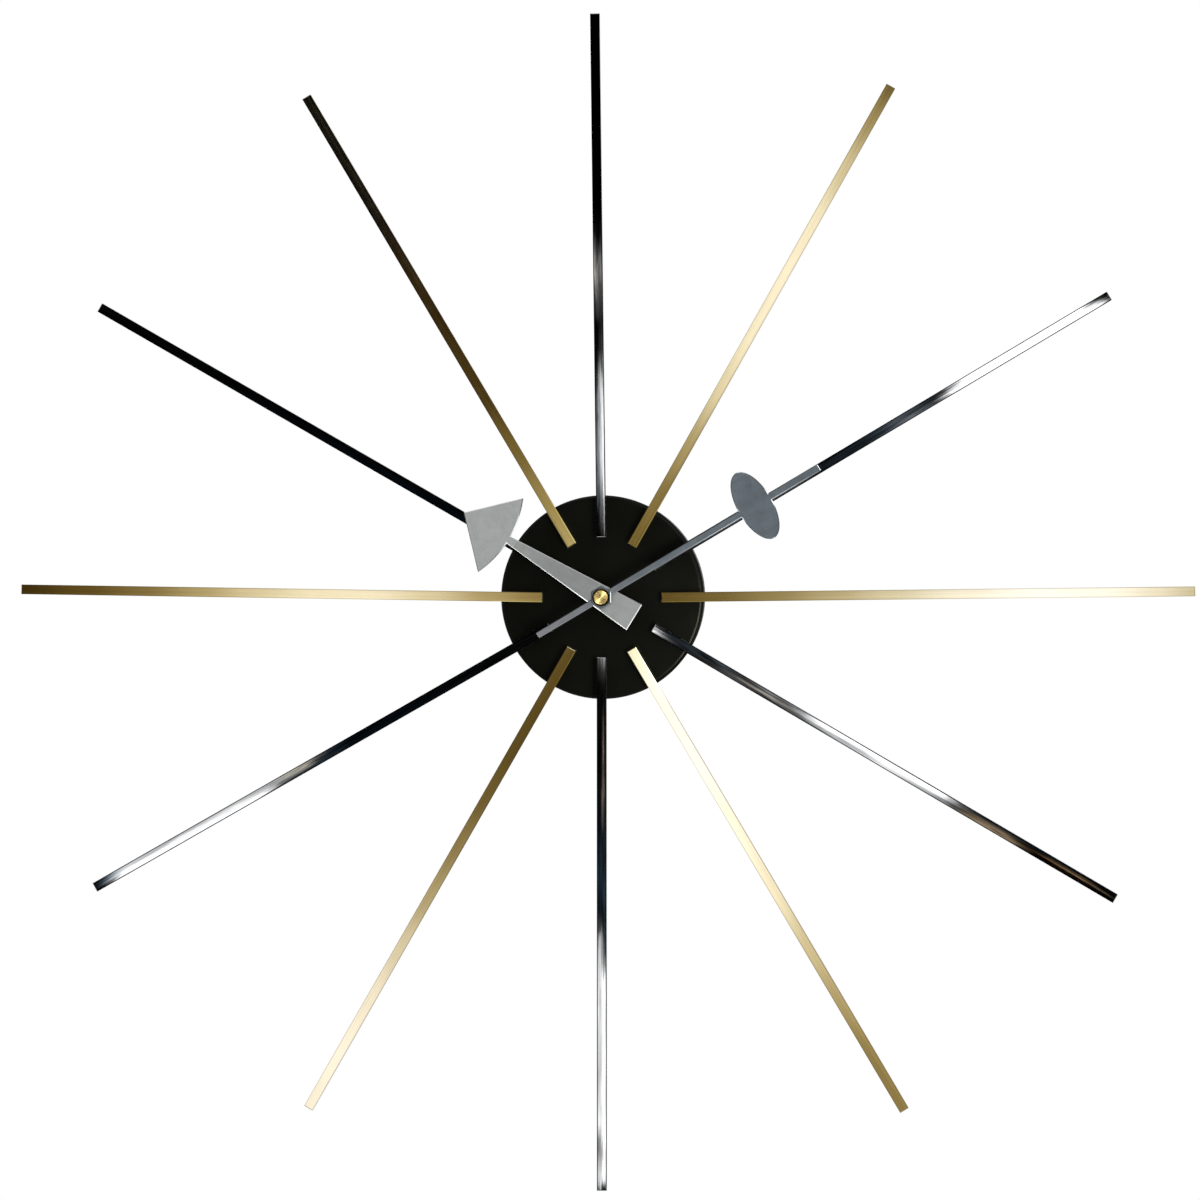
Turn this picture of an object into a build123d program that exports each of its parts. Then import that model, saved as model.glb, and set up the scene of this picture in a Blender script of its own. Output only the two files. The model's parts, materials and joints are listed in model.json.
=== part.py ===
from build123d import *
import os
from math import acos, cos, sin, pi, radians, sqrt, tan

# Sunburst wall clock: a shallow drum with twelve square-section rays on its front
# face, two flat hands, and a battery quartz movement inside the drum.
#
# Frame: the origin is on the hand axis, on the wall plane (rear face of the drum).
# +Z points at 12 o'clock, +X at 3 o'clock, and the dial faces -Y.
# Features are placed by their depth in front of the wall, so y = -depth; "back" is
# the depth nearer the wall.  Positions in the dial plane are (x, z).
# Seen from the front, a positive turn about +Y is clockwise.
# Name endings: _R radius, _W width, _T thickness, _BACK and _FRONT depths.

AXIS = (0.0, 0.0)
OVER = 1.0                 # how far a cutter runs past the material

# ---------------------------------------------------------------- drum and rays
RAY_TIP_R = 305.0          # a 610 mm clock
RAY_INNER_R = 31.0
RAY_W = 5.0
RAY_T = 4.0
RAY_CHAMFER = 0.35         # brass rays: crisp bevel
RAY_ROUND = 0.55           # chrome rays: edges rounded by polishing
# how each ray is fitted, from 12 o'clock round; columns are the turn from its hour
# mark in degrees and the sideways offset from the hand axis, both clockwise +
RAY_FIT = [
    (-0.72, 0.06), (-0.54, 0.46), (-0.71, 0.24), (-0.67, 0.41),
    (0.28, 0.25), (-0.72, 0.57), (-0.04, 0.20), (-0.13, 0.37),
    (0.31, -0.29), (0.84, -0.52), (-0.16, 0.21), (-0.73, 0.34),
]
RAY_SCREW_AT = (36.0, 47.0)    # distances of the two screws behind each ray
RAY_SCREW_R, RAY_SCREW_CLEAR_R = 1.0, 1.15
RAY_SCREW_HEAD_R, RAY_SCREW_HEAD_T = 1.9, 1.3
RAY_SCREW_REACH, RAY_TAP_DEPTH = 2.4, 2.8

DRUM_R = 53.0
DRUM_FRONT = 24.0          # front face of the dial
SHEET = 1.0
DIAL_BACK = DRUM_FRONT - SHEET
DRUM_EDGE_R = 2.4          # rolled front edge
DIAL_HOLE_R = 4.15         # clears the threaded bushing

COVER_T = 1.2
COVER_R = DRUM_R - SHEET - 0.1
STANDOFF_R, STANDOFF_TAP_FRONT = 2.75, 8.6
COVER_SCREW_R, COVER_SCREW_HEAD_R, COVER_SCREW_FRONT = 1.5, 2.8, 7.4
KEYHOLE_Z, KEYHOLE_R, KEYHOLE_SLOT_R, KEYHOLE_RISE = 33.0, 4.5, 2.25, 8.5
KNOB_OPENING_R = 8.0
WINDOW_HALF_W, WINDOW_HALF_H = 27.0, 8.5

# ---------------------------------------------------------------- hands
HOUR_ANGLE = 301.5         # clock angles, clockwise from 12
MINUTE_ANGLE = 59.2
HAND_T = 1.1
HAND_BEVEL = 0.40
HOUR_BACK, MINUTE_BACK = 29.4, 32.4
HOUR_FRONT, MINUTE_FRONT = HOUR_BACK + HAND_T, MINUTE_BACK + HAND_T
HOUR_TAIL, HOUR_TAIL_W = 19.9, 15.4
HOUR_NECK, HOUR_NECK_W = 57.4, 4.0
HOUR_APEX, HOUR_HEAD_HALF, HOUR_HEAD_SAG = 84.1, 22.5, 4.9
HOUR_ARC_X = 13.0          # where the head's lower arc is fixed between its ends
HOUR_RIVET_R, HOUR_BUSH_R, HOUR_BUSH_BACK = 3.2, 4.4, 28.2
MINUTE_TIP, MINUTE_TAIL = 131.0, 38.4
MINUTE_TAIL_W, MINUTE_TIP_W = 3.2, 3.7
OVAL_AT, OVAL_HALF_W, OVAL_HALF_H = 92.5, 19.4, 9.1
MINUTE_EYE_R, MINUTE_RIVET_R = 4.6, 2.5
HUB_FLATS, HUB_FRONT = 10.2, 34.3      # hexagonal hub, corners along the hand
HUB_COLLAR_R, HUB_COLLAR_BACK = 3.6, 31.4
CAP_R, CAP_FACE_R, CAP_BEVEL, CAP_FRONT = 4.5, 3.75, 0.8, 37.0
STUD_R, STUD_FRONT, CAP_BORE_FRONT = 1.35, 35.9, 36.1

# ---------------------------------------------------------------- shafts
BUSHING_R, BUSHING_BORE, BUSHING_FRONT = 4.0, 2.65, 27.4
FLANGE_R, FLANGE_BACK = 5.4, 21.6
PIPE_R, PIPE_BORE = 2.58, 1.85         # hour pipe
ARBOR_R, ARBOR_BORE = 1.78, 0.56       # minute arbor
CLUTCH_R = 1.5                         # rear part of the arbor
PIN_R, PIN_HOLE_R = 0.50, 0.56
ROTOR_PIN_R, ROTOR_HOLE_R = 0.35, 0.41
PIN_BACK, PIN_FRONT = 7.3, 18.6
SEAT_R = 0.8                           # wheels sit on their pinions here
STEM_R, STEM_HOLE_R, STEM_BACK = 0.9, 0.96, 4.4
STEM_COLLAR_R, STEM_COLLAR_BACK = 1.2, 17.0

# ---------------------------------------------------------------- movement case
CASE_HALF = 28.0           # 56 x 56 mm case
CASE_WALL = 1.2
CASE_INNER = CASE_HALF - CASE_WALL
CASE_BACK, CASE_FRONT = 6.7, 22.2
CASE_SPLIT = 7.7           # rear cover meets the case here
CHAMBER_FRONT = 21.2       # inside of the case's front wall
BAY_FRONT = 21.6
BAY_TOP, BAY_CEILING = -10.9, -11.7    # partition between gears and battery bay
PLATE_HALF, PLATE_LOW = 26.6, -10.7
PLATE_BACK, PLATE_FRONT = 17.9, 18.7
CELL_R, CELL_LENGTH, CELL_DEPTH, CELL_Z = 7.25, 50.5, 14.1, -19.4
CELL_LEFT = -24.8
TERMINAL_R, TERMINAL_LENGTH, TERMINAL_OVERLAP = 2.75, 1.5, 0.1

# ---------------------------------------------------------------- gears
PRESSURE = radians(20)
BACKLASH = 0.035
WHEEL_ADD, PINION_ADD, DEDENDUM = 0.60, 0.85, 1.10     # in modules
MOTION_M, CENTRE_M, SECONDS_M, INTER_M = 0.40, 0.26, 0.32, 0.25
THIRD_M = (80 + 10) * CENTRE_M / (75 + 10)     # same centres as the centre wheel pair
# teeth, module, addendum
CANNON = (15, MOTION_M, PINION_ADD)
MINUTE_GEAR = (45, MOTION_M, WHEEL_ADD)
MINUTE_PINION = (12, MOTION_M, PINION_ADD)
HOUR_GEAR = (48, MOTION_M, WHEEL_ADD)
CENTRE_GEAR = (80, CENTRE_M, WHEEL_ADD)
THIRD_PINION = (10, CENTRE_M, PINION_ADD)
THIRD_GEAR = (75, THIRD_M, WHEEL_ADD)
SECONDS_PINION = (10, THIRD_M, PINION_ADD)
SECONDS_GEAR = (60, SECONDS_M, WHEEL_ADD)
INTER_PINION = (12, SECONDS_M, PINION_ADD)
INTER_GEAR = (60, INTER_M, WHEEL_ADD)
ROTOR_PINION = (10, INTER_M, PINION_ADD)


def polar(angle, radius, centre=AXIS):
    """Point at an angle in degrees, from +X towards +Z."""
    return (centre[0] + radius * cos(radians(angle)), centre[1] + radius * sin(radians(angle)))


def next_axis(driver, driven, angle, centre=AXIS):
    return polar(angle, (driver[0] + driven[0]) * driver[1] / 2, centre)


MINUTE_DIR, THIRD_DIR, INTER_DIR, ROTOR_DIR = 10.0, 100.0, 180.0, 120.0
MINUTE_AT = next_axis(CANNON, MINUTE_GEAR, MINUTE_DIR)
THIRD_AT = next_axis(CENTRE_GEAR, THIRD_PINION, THIRD_DIR)
INTER_AT = next_axis(SECONDS_GEAR, INTER_PINION, INTER_DIR)
ROTOR_AT = next_axis(INTER_GEAR, ROTOR_PINION, ROTOR_DIR, INTER_AT)
BEARINGS = [(THIRD_AT, PIN_HOLE_R), (INTER_AT, PIN_HOLE_R), (ROTOR_AT, ROTOR_HOLE_R)]


# ---------------------------------------------------------------- helpers
def disc(radius, back, front, at=AXIS):
    return Plane.XZ.offset(back) * Pos(at[0], at[1], 0) * Cylinder(
        radius, front - back, align=(Align.CENTER, Align.CENTER, Align.MIN))


def through(radius, back, front, at=AXIS):
    """Cutter for a hole right through material lying from back to front."""
    return disc(radius, back - OVER, front + OVER, at)


def cone(back_radius, front_radius, back, front, at=AXIS):
    return Plane.XZ.offset(back) * Pos(at[0], at[1], 0) * Cone(
        back_radius, front_radius, front - back, align=(Align.CENTER, Align.CENTER, Align.MIN))


def rod(radius, length, left, depth, z):
    """Round bar along +X."""
    return Pos(left, -depth, z) * Rot(0, 90, 0) * Cylinder(
        radius, length, align=(Align.CENTER, Align.CENTER, Align.MIN))


def block(left, right, low, high, back, front):
    centre = Pos((left + right) / 2, -(back + front) / 2, (low + high) / 2)
    return centre * Box(right - left, front - back, high - low)


def blocks(rows):
    shape = block(*rows[0])
    for row in rows[1:]:
        shape += block(*row)
    return shape


def slot(at, half_length, half_width, head_back, depth):
    """Cutter for a screwdriver slot in a rear-facing head."""
    x, z = at
    return block(x - half_length, x + half_length, z - half_width, z + half_width,
                 head_back - OVER, head_back + depth)


def sheet(face, back, front):
    """A flat shape in the dial plane, thickened."""
    return Plane.XZ.offset(back) * extrude(face, front - back)


def rounded(half, low, high, corner, back, front):
    face = Pos(0, (low + high) / 2, 0) * RectangleRounded(2 * half, high - low, corner)
    return sheet(face, back, front)


def poly(points):
    return make_face(Polyline(*points, close=True))


def clockwise(shape, angle):
    return Rot(0, angle, 0) * shape


def front_rim(shape):
    return shape.edges().filter_by(GeomType.CIRCLE).sort_by(Axis.Y)[0]


def edges_at(shape, depth):
    return shape.edges().filter_by_position(Axis.Y, -depth - 0.01, -depth + 0.01)


def involute(angle):
    return tan(angle) - angle


def tooth_half_angle(teeth, module, radius):
    pitch_r = teeth * module / 2
    base_r = pitch_r * cos(PRESSURE)
    at_base = pi / (2 * teeth) - BACKLASH / 2 / pitch_r + involute(PRESSURE)
    return at_base - (involute(acos(base_r / radius)) if radius > base_r else 0.0)


def gear(spec, at, back, front, phase=0.0):
    """Involute gear; phase is the angle of one tooth's centre line."""
    teeth, module, addendum = spec
    pitch_r = teeth * module / 2
    base_r = pitch_r * cos(PRESSURE)
    root_r = pitch_r - DEDENDUM * module
    radii = [root_r, pitch_r, pitch_r + addendum * module]
    if base_r > root_r + 0.02:
        radii.insert(1, base_r)
    flank = [(r, tooth_half_angle(teeth, module, max(r, base_r))) for r in radii]
    points = []
    for k in range(teeth):
        middle = phase + 2 * pi * k / teeth
        tooth = [(r, middle - half) for r, half in flank]
        tooth += [(r, middle + half) for r, half in reversed(flank)]
        points += [(at[0] + r * cos(t), at[1] + r * sin(t)) for r, t in tooth]
    return sheet(poly(points), back, front)


def mesh_phase(driver, driven, direction):
    """Phase that meshes with a driver of phase 0, the driven gear in that direction."""
    angle = radians(direction)
    return angle + pi + angle * driver[0] / driven[0] + pi / driven[0]


def seated_wheel(spec, at, back, front):
    return gear(spec, at, back, front) - through(SEAT_R, back, front, at)


nodes = {}

# ================================================================ drum
ray_angles = [30 * k + turn for k, (turn, _) in enumerate(RAY_FIT)]

outer = disc(DRUM_R, 0, DRUM_FRONT)
outer = fillet(front_rim(outer), DRUM_EDGE_R)
hollow = disc(DRUM_R - SHEET, -OVER, DIAL_BACK)
hollow = fillet(front_rim(hollow), DRUM_EDGE_R - SHEET)
drum = outer - hollow - through(DIAL_HOLE_R, DIAL_BACK, DRUM_FRONT)
for angle, (_, shift) in zip(ray_angles, RAY_FIT):
    for reach in RAY_SCREW_AT:
        hole = through(RAY_SCREW_CLEAR_R, DIAL_BACK, DRUM_FRONT, (shift, reach))
        drum -= clockwise(hole, angle)
nodes["dial_drum"] = drum

standoffs_at = [polar(90 - clock_angle, 44.0) for clock_angle in (45, 165, 285)]
posts, cover_screws = [], []
for at in standoffs_at:
    post = disc(STANDOFF_R, COVER_T, DIAL_BACK, at)
    posts.append(post - disc(COVER_SCREW_R, COVER_T - OVER, STANDOFF_TAP_FRONT, at))
    screw = cone(COVER_SCREW_HEAD_R, COVER_SCREW_R, 0, COVER_T, at)
    screw += disc(COVER_SCREW_R, COVER_T, COVER_SCREW_FRONT, at)
    cover_screws.append(screw - slot(at, 3, 0.35, 0, 0.55))
nodes["cover_standoffs"] = Part() + posts
nodes["back_cover_screws"] = Part() + cover_screws

# back cover: keyhole at the top, knob hole, battery window, three countersinks
cover = disc(COVER_R, 0, COVER_T)
cover -= through(KEYHOLE_R, 0, COVER_T, (0, KEYHOLE_Z))
cover -= block(-KEYHOLE_SLOT_R, KEYHOLE_SLOT_R, KEYHOLE_Z, KEYHOLE_Z + KEYHOLE_RISE,
               -OVER, COVER_T + OVER)
cover -= through(KEYHOLE_SLOT_R, 0, COVER_T, (0, KEYHOLE_Z + KEYHOLE_RISE))
cover -= through(KNOB_OPENING_R, 0, COVER_T, MINUTE_AT)
cover -= rounded(WINDOW_HALF_W, CELL_Z - WINDOW_HALF_H, CELL_Z + WINDOW_HALF_H, 2,
                 -OVER, COVER_T + OVER)
for at in standoffs_at:
    cover -= cone(COVER_SCREW_HEAD_R, COVER_SCREW_R, 0, COVER_T, at)
nodes["back_cover"] = cover

# ================================================================ rays
ray_front = DRUM_FRONT + RAY_T
head_back = DIAL_BACK - RAY_SCREW_HEAD_T
ray_screws = []
for k, (angle, (_, shift)) in enumerate(zip(ray_angles, RAY_FIT)):
    ray = block(shift - RAY_W / 2, shift + RAY_W / 2, RAY_INNER_R, RAY_TIP_R,
                DRUM_FRONT, ray_front)
    edges = edges_at(ray, ray_front)
    # chrome at even hours, brass at odd
    ray = fillet(edges, RAY_ROUND) if k % 2 == 0 else chamfer(edges, RAY_CHAMFER)
    for reach in RAY_SCREW_AT:
        at = (shift, reach)
        ray -= disc(RAY_SCREW_R, DRUM_FRONT - OVER, DRUM_FRONT + RAY_TAP_DEPTH, at)
        screw = disc(RAY_SCREW_HEAD_R, head_back, DIAL_BACK, at)
        screw += disc(RAY_SCREW_R, DIAL_BACK, DRUM_FRONT + RAY_SCREW_REACH, at)
        screw -= slot(at, 2.2, 0.25, head_back, 0.55)
        ray_screws.append(clockwise(screw, angle))
    nodes[f"ray_{k or 12:02d}"] = clockwise(ray, angle)
nodes["ray_screws"] = Part() + ray_screws


# ================================================================ hands
def hand_bevel(shape, front):
    return chamfer(edges_at(shape, front), HAND_BEVEL)


def hour_outline():
    """Tapering blade, widest at the tail, with a fan-shaped head and a square point."""
    corner_z = HOUR_APEX - HOUR_HEAD_HALF
    arc_low = corner_z - HOUR_HEAD_SAG
    arc_r = (HOUR_HEAD_HALF ** 2 + HOUR_HEAD_SAG ** 2) / (2 * HOUR_HEAD_SAG)
    taper = (arc_low + HOUR_TAIL) / (HOUR_NECK + HOUR_TAIL)
    neck = (HOUR_TAIL_W + (HOUR_NECK_W - HOUR_TAIL_W) * taper) / 2

    def on_arc(x):
        return (x, arc_low + arc_r - sqrt(arc_r ** 2 - x ** 2))

    apex = (0, HOUR_APEX)
    left_tail, right_tail = (-HOUR_TAIL_W / 2, -HOUR_TAIL), (HOUR_TAIL_W / 2, -HOUR_TAIL)
    left_corner, right_corner = (-HOUR_HEAD_HALF, corner_z), (HOUR_HEAD_HALF, corner_z)
    return make_face([
        Line(left_tail, right_tail),
        Line(right_tail, on_arc(neck)),
        ThreePointArc(on_arc(neck), on_arc(HOUR_ARC_X), right_corner),
        Line(right_corner, apex),
        Line(apex, left_corner),
        ThreePointArc(left_corner, on_arc(-HOUR_ARC_X), on_arc(-neck)),
        Line(on_arc(-neck), left_tail),
    ])


hour = hand_bevel(sheet(hour_outline(), HOUR_BACK, HOUR_FRONT), HOUR_FRONT)
hour -= through(HOUR_RIVET_R, HOUR_BACK, HOUR_FRONT)
nodes["hour_hand"] = clockwise(hour, HOUR_ANGLE)
bush = disc(HOUR_BUSH_R, HOUR_BUSH_BACK, HOUR_BACK) + disc(HOUR_RIVET_R, HOUR_BACK, HOUR_FRONT)
nodes["hour_hand_bush"] = bush - through(PIPE_R, HOUR_BUSH_BACK, HOUR_FRONT)

# minute hand: a slim bar with an oval set across it, riveted to a hexagonal hub
bar = poly([(-MINUTE_TAIL_W / 2, -MINUTE_TAIL), (MINUTE_TAIL_W / 2, -MINUTE_TAIL),
            (MINUTE_TIP_W / 2, MINUTE_TIP), (-MINUTE_TIP_W / 2, MINUTE_TIP)])
oval = Pos(0, OVAL_AT, 0) * Ellipse(OVAL_HALF_W, OVAL_HALF_H)
minute = sheet(bar + oval + Circle(MINUTE_EYE_R), MINUTE_BACK, MINUTE_FRONT)
minute = hand_bevel(minute, MINUTE_FRONT)
minute -= through(MINUTE_RIVET_R, MINUTE_BACK, MINUTE_FRONT)
nodes["minute_hand"] = clockwise(minute, MINUTE_ANGLE)

hexagon = RegularPolygon(HUB_FLATS / 2, 6, major_radius=False, rotation=30)
hub = hand_bevel(sheet(hexagon, MINUTE_FRONT, HUB_FRONT), HUB_FRONT)
hub += (disc(HUB_COLLAR_R, HUB_COLLAR_BACK, MINUTE_BACK)
        + disc(MINUTE_RIVET_R, MINUTE_BACK, MINUTE_FRONT))
hub -= through(ARBOR_R, HUB_COLLAR_BACK, HUB_FRONT)
nodes["minute_hand_hub"] = clockwise(hub, MINUTE_ANGLE)

cap = disc(CAP_R, HUB_FRONT, CAP_FRONT - CAP_BEVEL)
cap += cone(CAP_R, CAP_FACE_R, CAP_FRONT - CAP_BEVEL, CAP_FRONT)
nodes["cap_nut"] = cap - disc(STUD_R, HUB_FRONT - OVER, CAP_BORE_FRONT)

# ================================================================ shaft fixing
WASHER_FRONT = DRUM_FRONT + 0.5
NUT_FRONT = WASHER_FRONT + 2.2
bushing = disc(BUSHING_R, CHAMBER_FRONT, BUSHING_FRONT) + disc(FLANGE_R, FLANGE_BACK, CASE_FRONT)
nodes["threaded_bushing"] = bushing - through(BUSHING_BORE, CHAMBER_FRONT, BUSHING_FRONT)
nodes["dial_gasket"] = (disc(14.0, CASE_FRONT, DIAL_BACK)
                        - through(4.2, CASE_FRONT, DIAL_BACK))
nodes["fixing_washer"] = (disc(6.2, DRUM_FRONT, WASHER_FRONT)
                          - through(DIAL_HOLE_R, DRUM_FRONT, WASHER_FRONT))
nut = sheet(RegularPolygon(5.0, 6, major_radius=False), WASHER_FRONT, NUT_FRONT)
nut = nut & disc(5.55, WASHER_FRONT, NUT_FRONT)
nodes["hex_nut"] = nut - through(BUSHING_R, WASHER_FRONT, NUT_FRONT)

# ================================================================ movement case
BOARD_BACK, BOARD_FRONT = 9.7, 10.5
case = rounded(CASE_HALF, -CASE_HALF, CASE_HALF, 3.0, CASE_SPLIT, CASE_FRONT)
case -= rounded(CASE_INNER, BAY_TOP, CASE_INNER, 1.2, CASE_SPLIT - OVER, CHAMBER_FRONT)
case -= rounded(CASE_INNER, -CASE_INNER, BAY_CEILING, 0.15, CASE_SPLIT - OVER, BAY_FRONT)
case -= through(BUSHING_R, CHAMBER_FRONT, CASE_FRONT)
case -= disc(FLANGE_R, FLANGE_BACK, CASE_FRONT + OVER)
# contact slots through the partition: left, right, rise above it, back, front
for left, right, rise, back, front in ((25.8, 26.6, 1.4, 9.6, 14.0), (22.9, 23.8, 0.1, 9.2, 11.2)):
    case -= block(left, right, BAY_CEILING - 0.1, BAY_TOP + rise, back, front)
# posts that carry the train plate
for at in ((-23.5, 23.6), (23.6, 23.6), (24.2, -8.2), (-23.5, -8.2)):
    case += disc(1.8, PLATE_FRONT, CHAMBER_FRONT + 0.2, at)
nodes["movement_case"] = case

# rear cover: a plate with a locating lip, bearing bosses and two board posts
rear = rounded(CASE_HALF, BAY_CEILING, CASE_HALF, 0.8, CASE_BACK, CASE_SPLIT)
LIP_GAP, LIP_HOLLOW = 0.05, 1.05       # insets from the chamber walls
lip = rounded(CASE_INNER - LIP_GAP, BAY_TOP + LIP_GAP, CASE_INNER - LIP_GAP, 1.1,
              CASE_SPLIT, 9.2)
lip -= rounded(CASE_INNER - LIP_HOLLOW, BAY_TOP + LIP_HOLLOW, CASE_INNER - LIP_HOLLOW, 0.6,
               CASE_SPLIT - 0.1, 10)
rear += lip
rear_bearings = [(AXIS, PIN_HOLE_R)] + BEARINGS
for at, _ in rear_bearings:
    rear += disc(1.6, CASE_SPLIT, 8.9, at)
for at in ((11.0, 23.5), (20.5, 23.5)):
    rear += disc(1.0, CASE_SPLIT, BOARD_BACK, at)
for at, hole_r in rear_bearings:
    rear -= disc(hole_r, 7.1, 9.5, at)
nodes["movement_cover"] = rear - through(STEM_HOLE_R, CASE_BACK, CASE_SPLIT, MINUTE_AT)

# train plate: front bearings of the wheels, and two pillars for the coil and stator
STATOR_BACK, STATOR_FRONT, CORE_FRONT = 12.9, 13.9, 14.9
COIL_X, COIL_SCREW_Z = -23.5, (-8.3, 21.5)
coil_screws_at = [(COIL_X, z) for z in COIL_SCREW_Z]
plate = rounded(PLATE_HALF, PLATE_LOW, PLATE_HALF, 1.6, PLATE_BACK, PLATE_FRONT)
for at, hole_r in [(AXIS, 1.57)] + BEARINGS + [(MINUTE_AT, 1.3)]:
    plate -= through(hole_r, PLATE_BACK, PLATE_FRONT, at)
for at in coil_screws_at:
    plate += disc(1.6, CORE_FRONT, PLATE_BACK, at) - disc(0.8, CORE_FRONT - OVER, 17.0, at)
nodes["train_plate"] = plate

# ================================================================ motion work
CANNON_BACK, CANNON_FRONT = 18.9, 19.9
arbor = disc(ARBOR_R, CANNON_FRONT, HUB_FRONT) + disc(STUD_R, HUB_FRONT, STUD_FRONT)
arbor += disc(CLUTCH_R, 15.2, CANNON_BACK)
arbor += gear(CANNON, AXIS, CANNON_BACK, CANNON_FRONT)
nodes["minute_arbor"] = arbor - disc(ARBOR_BORE, 14, 33.9)

MINUTE_HUB_BACK, MINUTE_PINION_FRONT = 18.8, 21.0
wheel = gear(MINUTE_GEAR, MINUTE_AT, 19.1, 19.7, mesh_phase(CANNON, MINUTE_GEAR, MINUTE_DIR))
wheel += gear(MINUTE_PINION, MINUTE_AT, 19.7, MINUTE_PINION_FRONT)
wheel += disc(2.0, MINUTE_HUB_BACK, 19.1, MINUTE_AT)
wheel -= through(STEM_R, MINUTE_HUB_BACK, MINUTE_PINION_FRONT, MINUTE_AT)
nodes["minute_wheel"] = wheel
nodes["setting_stem"] = (
    disc(STEM_R, STEM_BACK, MINUTE_PINION_FRONT, MINUTE_AT)
    + disc(STEM_COLLAR_R, STEM_COLLAR_BACK, MINUTE_HUB_BACK, MINUTE_AT))

# knob with 24 ridges
KNOB_BACK, KNOB_FRONT = 1.6, 4.6
ridges = [polar(7.5 * i, 5.5 if i % 2 else 5.15, MINUTE_AT) for i in range(48)]
knob = sheet(poly(ridges), KNOB_BACK, KNOB_FRONT) + disc(2.4, KNOB_FRONT, 6.2, MINUTE_AT)
knob -= disc(STEM_R, STEM_BACK, 8, MINUTE_AT)
nodes["set_knob"] = knob - slot(MINUTE_AT, 3.4, 0.5, KNOB_BACK, 0.7)

hour_phase = mesh_phase(MINUTE_PINION, HOUR_GEAR, MINUTE_DIR + 180)
wheel = gear(HOUR_GEAR, AXIS, 20.2, 20.9, hour_phase) + disc(PIPE_R, 20.2, 30.9)
nodes["hour_wheel"] = wheel - through(PIPE_BORE, 20.2, 30.9)

# ================================================================ going train
SPRING_BACK, CENTRE_BACK = 15.7, 16.0
wheel = gear(CENTRE_GEAR, AXIS, CENTRE_BACK, 16.6) + disc(2.6, 16.6, 17.2)
nodes["centre_wheel"] = wheel - through(CLUTCH_R, CENTRE_BACK, 17.2)

# clutch: a three-armed spring washer and its retaining ring
spring = disc(2.6, SPRING_BACK, CENTRE_BACK) - through(1.55, SPRING_BACK, CENTRE_BACK)
for angle in (90, 210, 330):
    arm = Rot(0, 0, angle) * Pos(3.6, 0, 0) * Rectangle(2.6, 1.0)
    spring += sheet(arm, SPRING_BACK, CENTRE_BACK)
nodes["clutch_spring"] = spring
nodes["clutch_ring"] = disc(2.2, 15.3, SPRING_BACK) - through(CLUTCH_R, 15.3, SPRING_BACK)

pinion = gear(THIRD_PINION, THIRD_AT, 15.6, 17.2,
              mesh_phase(CENTRE_GEAR, THIRD_PINION, THIRD_DIR))
pinion += disc(PIN_R, PIN_BACK, PIN_FRONT, THIRD_AT) + disc(1.0, 15.0, 15.6, THIRD_AT)
nodes["third_pinion"] = pinion + disc(SEAT_R, 14.0, 15.0, THIRD_AT)
nodes["third_wheel"] = seated_wheel(THIRD_GEAR, THIRD_AT, 14.4, 15.0)

pinion = gear(SECONDS_PINION, AXIS, 13.9, 15.1,
              mesh_phase(THIRD_GEAR, SECONDS_PINION, THIRD_DIR + 180))
pinion += disc(PIN_R, PIN_BACK, 33.5)
nodes["seconds_pinion"] = pinion + disc(SEAT_R, 11.8, 13.9)
nodes["seconds_wheel"] = seated_wheel(SECONDS_GEAR, AXIS, 12.0, 12.6)

pinion = gear(INTER_PINION, INTER_AT, 11.5, 13.1,
              mesh_phase(SECONDS_GEAR, INTER_PINION, INTER_DIR))
pinion += disc(PIN_R, PIN_BACK, PIN_FRONT, INTER_AT) + disc(SEAT_R, 10.0, 11.5, INTER_AT)
nodes["intermediate_pinion"] = pinion
nodes["intermediate_wheel"] = seated_wheel(INTER_GEAR, INTER_AT, 10.3, 10.8)

MAGNET_BACK, MAGNET_FRONT, MAGNET_BORE = 11.9, 14.9, 0.7
pinion = gear(ROTOR_PINION, ROTOR_AT, 9.9, 11.2,
              mesh_phase(INTER_GEAR, ROTOR_PINION, ROTOR_DIR))
pinion += disc(ROTOR_PIN_R, PIN_BACK, PIN_FRONT, ROTOR_AT)
pinion += disc(0.9, 11.2, MAGNET_BACK, ROTOR_AT) + disc(MAGNET_BORE, MAGNET_BACK, 15.2, ROTOR_AT)
nodes["rotor_pinion"] = pinion
nodes["rotor_magnet"] = (disc(2.6, MAGNET_BACK, MAGNET_FRONT, ROTOR_AT)
                         - through(MAGNET_BORE, MAGNET_BACK, MAGNET_FRONT, ROTOR_AT))

# ================================================================ motor
CORE_HALF_W, TUBE_HALF_W = 1.6, 2.2
CORE_LEFT = COIL_X - CORE_HALF_W
BOBBIN_LOW, BOBBIN_HIGH, CHEEK_T = -5.2, 18.8, 0.8
rotor_z = ROTOR_AT[1]

# stator: a ring round the rotor, with an arm and a foot above and below it
stator = disc(5.4, STATOR_BACK, STATOR_FRONT, ROTOR_AT)
for left, right, low, high in (
        (-20.0, -14.2, rotor_z, 23.1), (CORE_LEFT, -15.0, 19.9, 23.1),
        (-20.0, -14.9, -9.9, rotor_z), (CORE_LEFT, -15.0, -9.9, -6.7)):
    stator += block(left, right, low, high, STATOR_BACK, STATOR_FRONT)
stator -= through(3.1, STATOR_BACK, STATOR_FRONT, ROTOR_AT)
# trims the ring on the coil side
stator -= block(-30, -20.2, -6.4, 19.4, STATOR_BACK - OVER, STATOR_FRONT + OVER)
for at in coil_screws_at:
    stator -= through(0.85, STATOR_BACK, STATOR_FRONT, at)
for reach in (-5.3, 5.3):
    stator -= through(0.9, STATOR_BACK, STATOR_FRONT, polar(25, reach, ROTOR_AT))
nodes["stator_plate"] = stator


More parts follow.
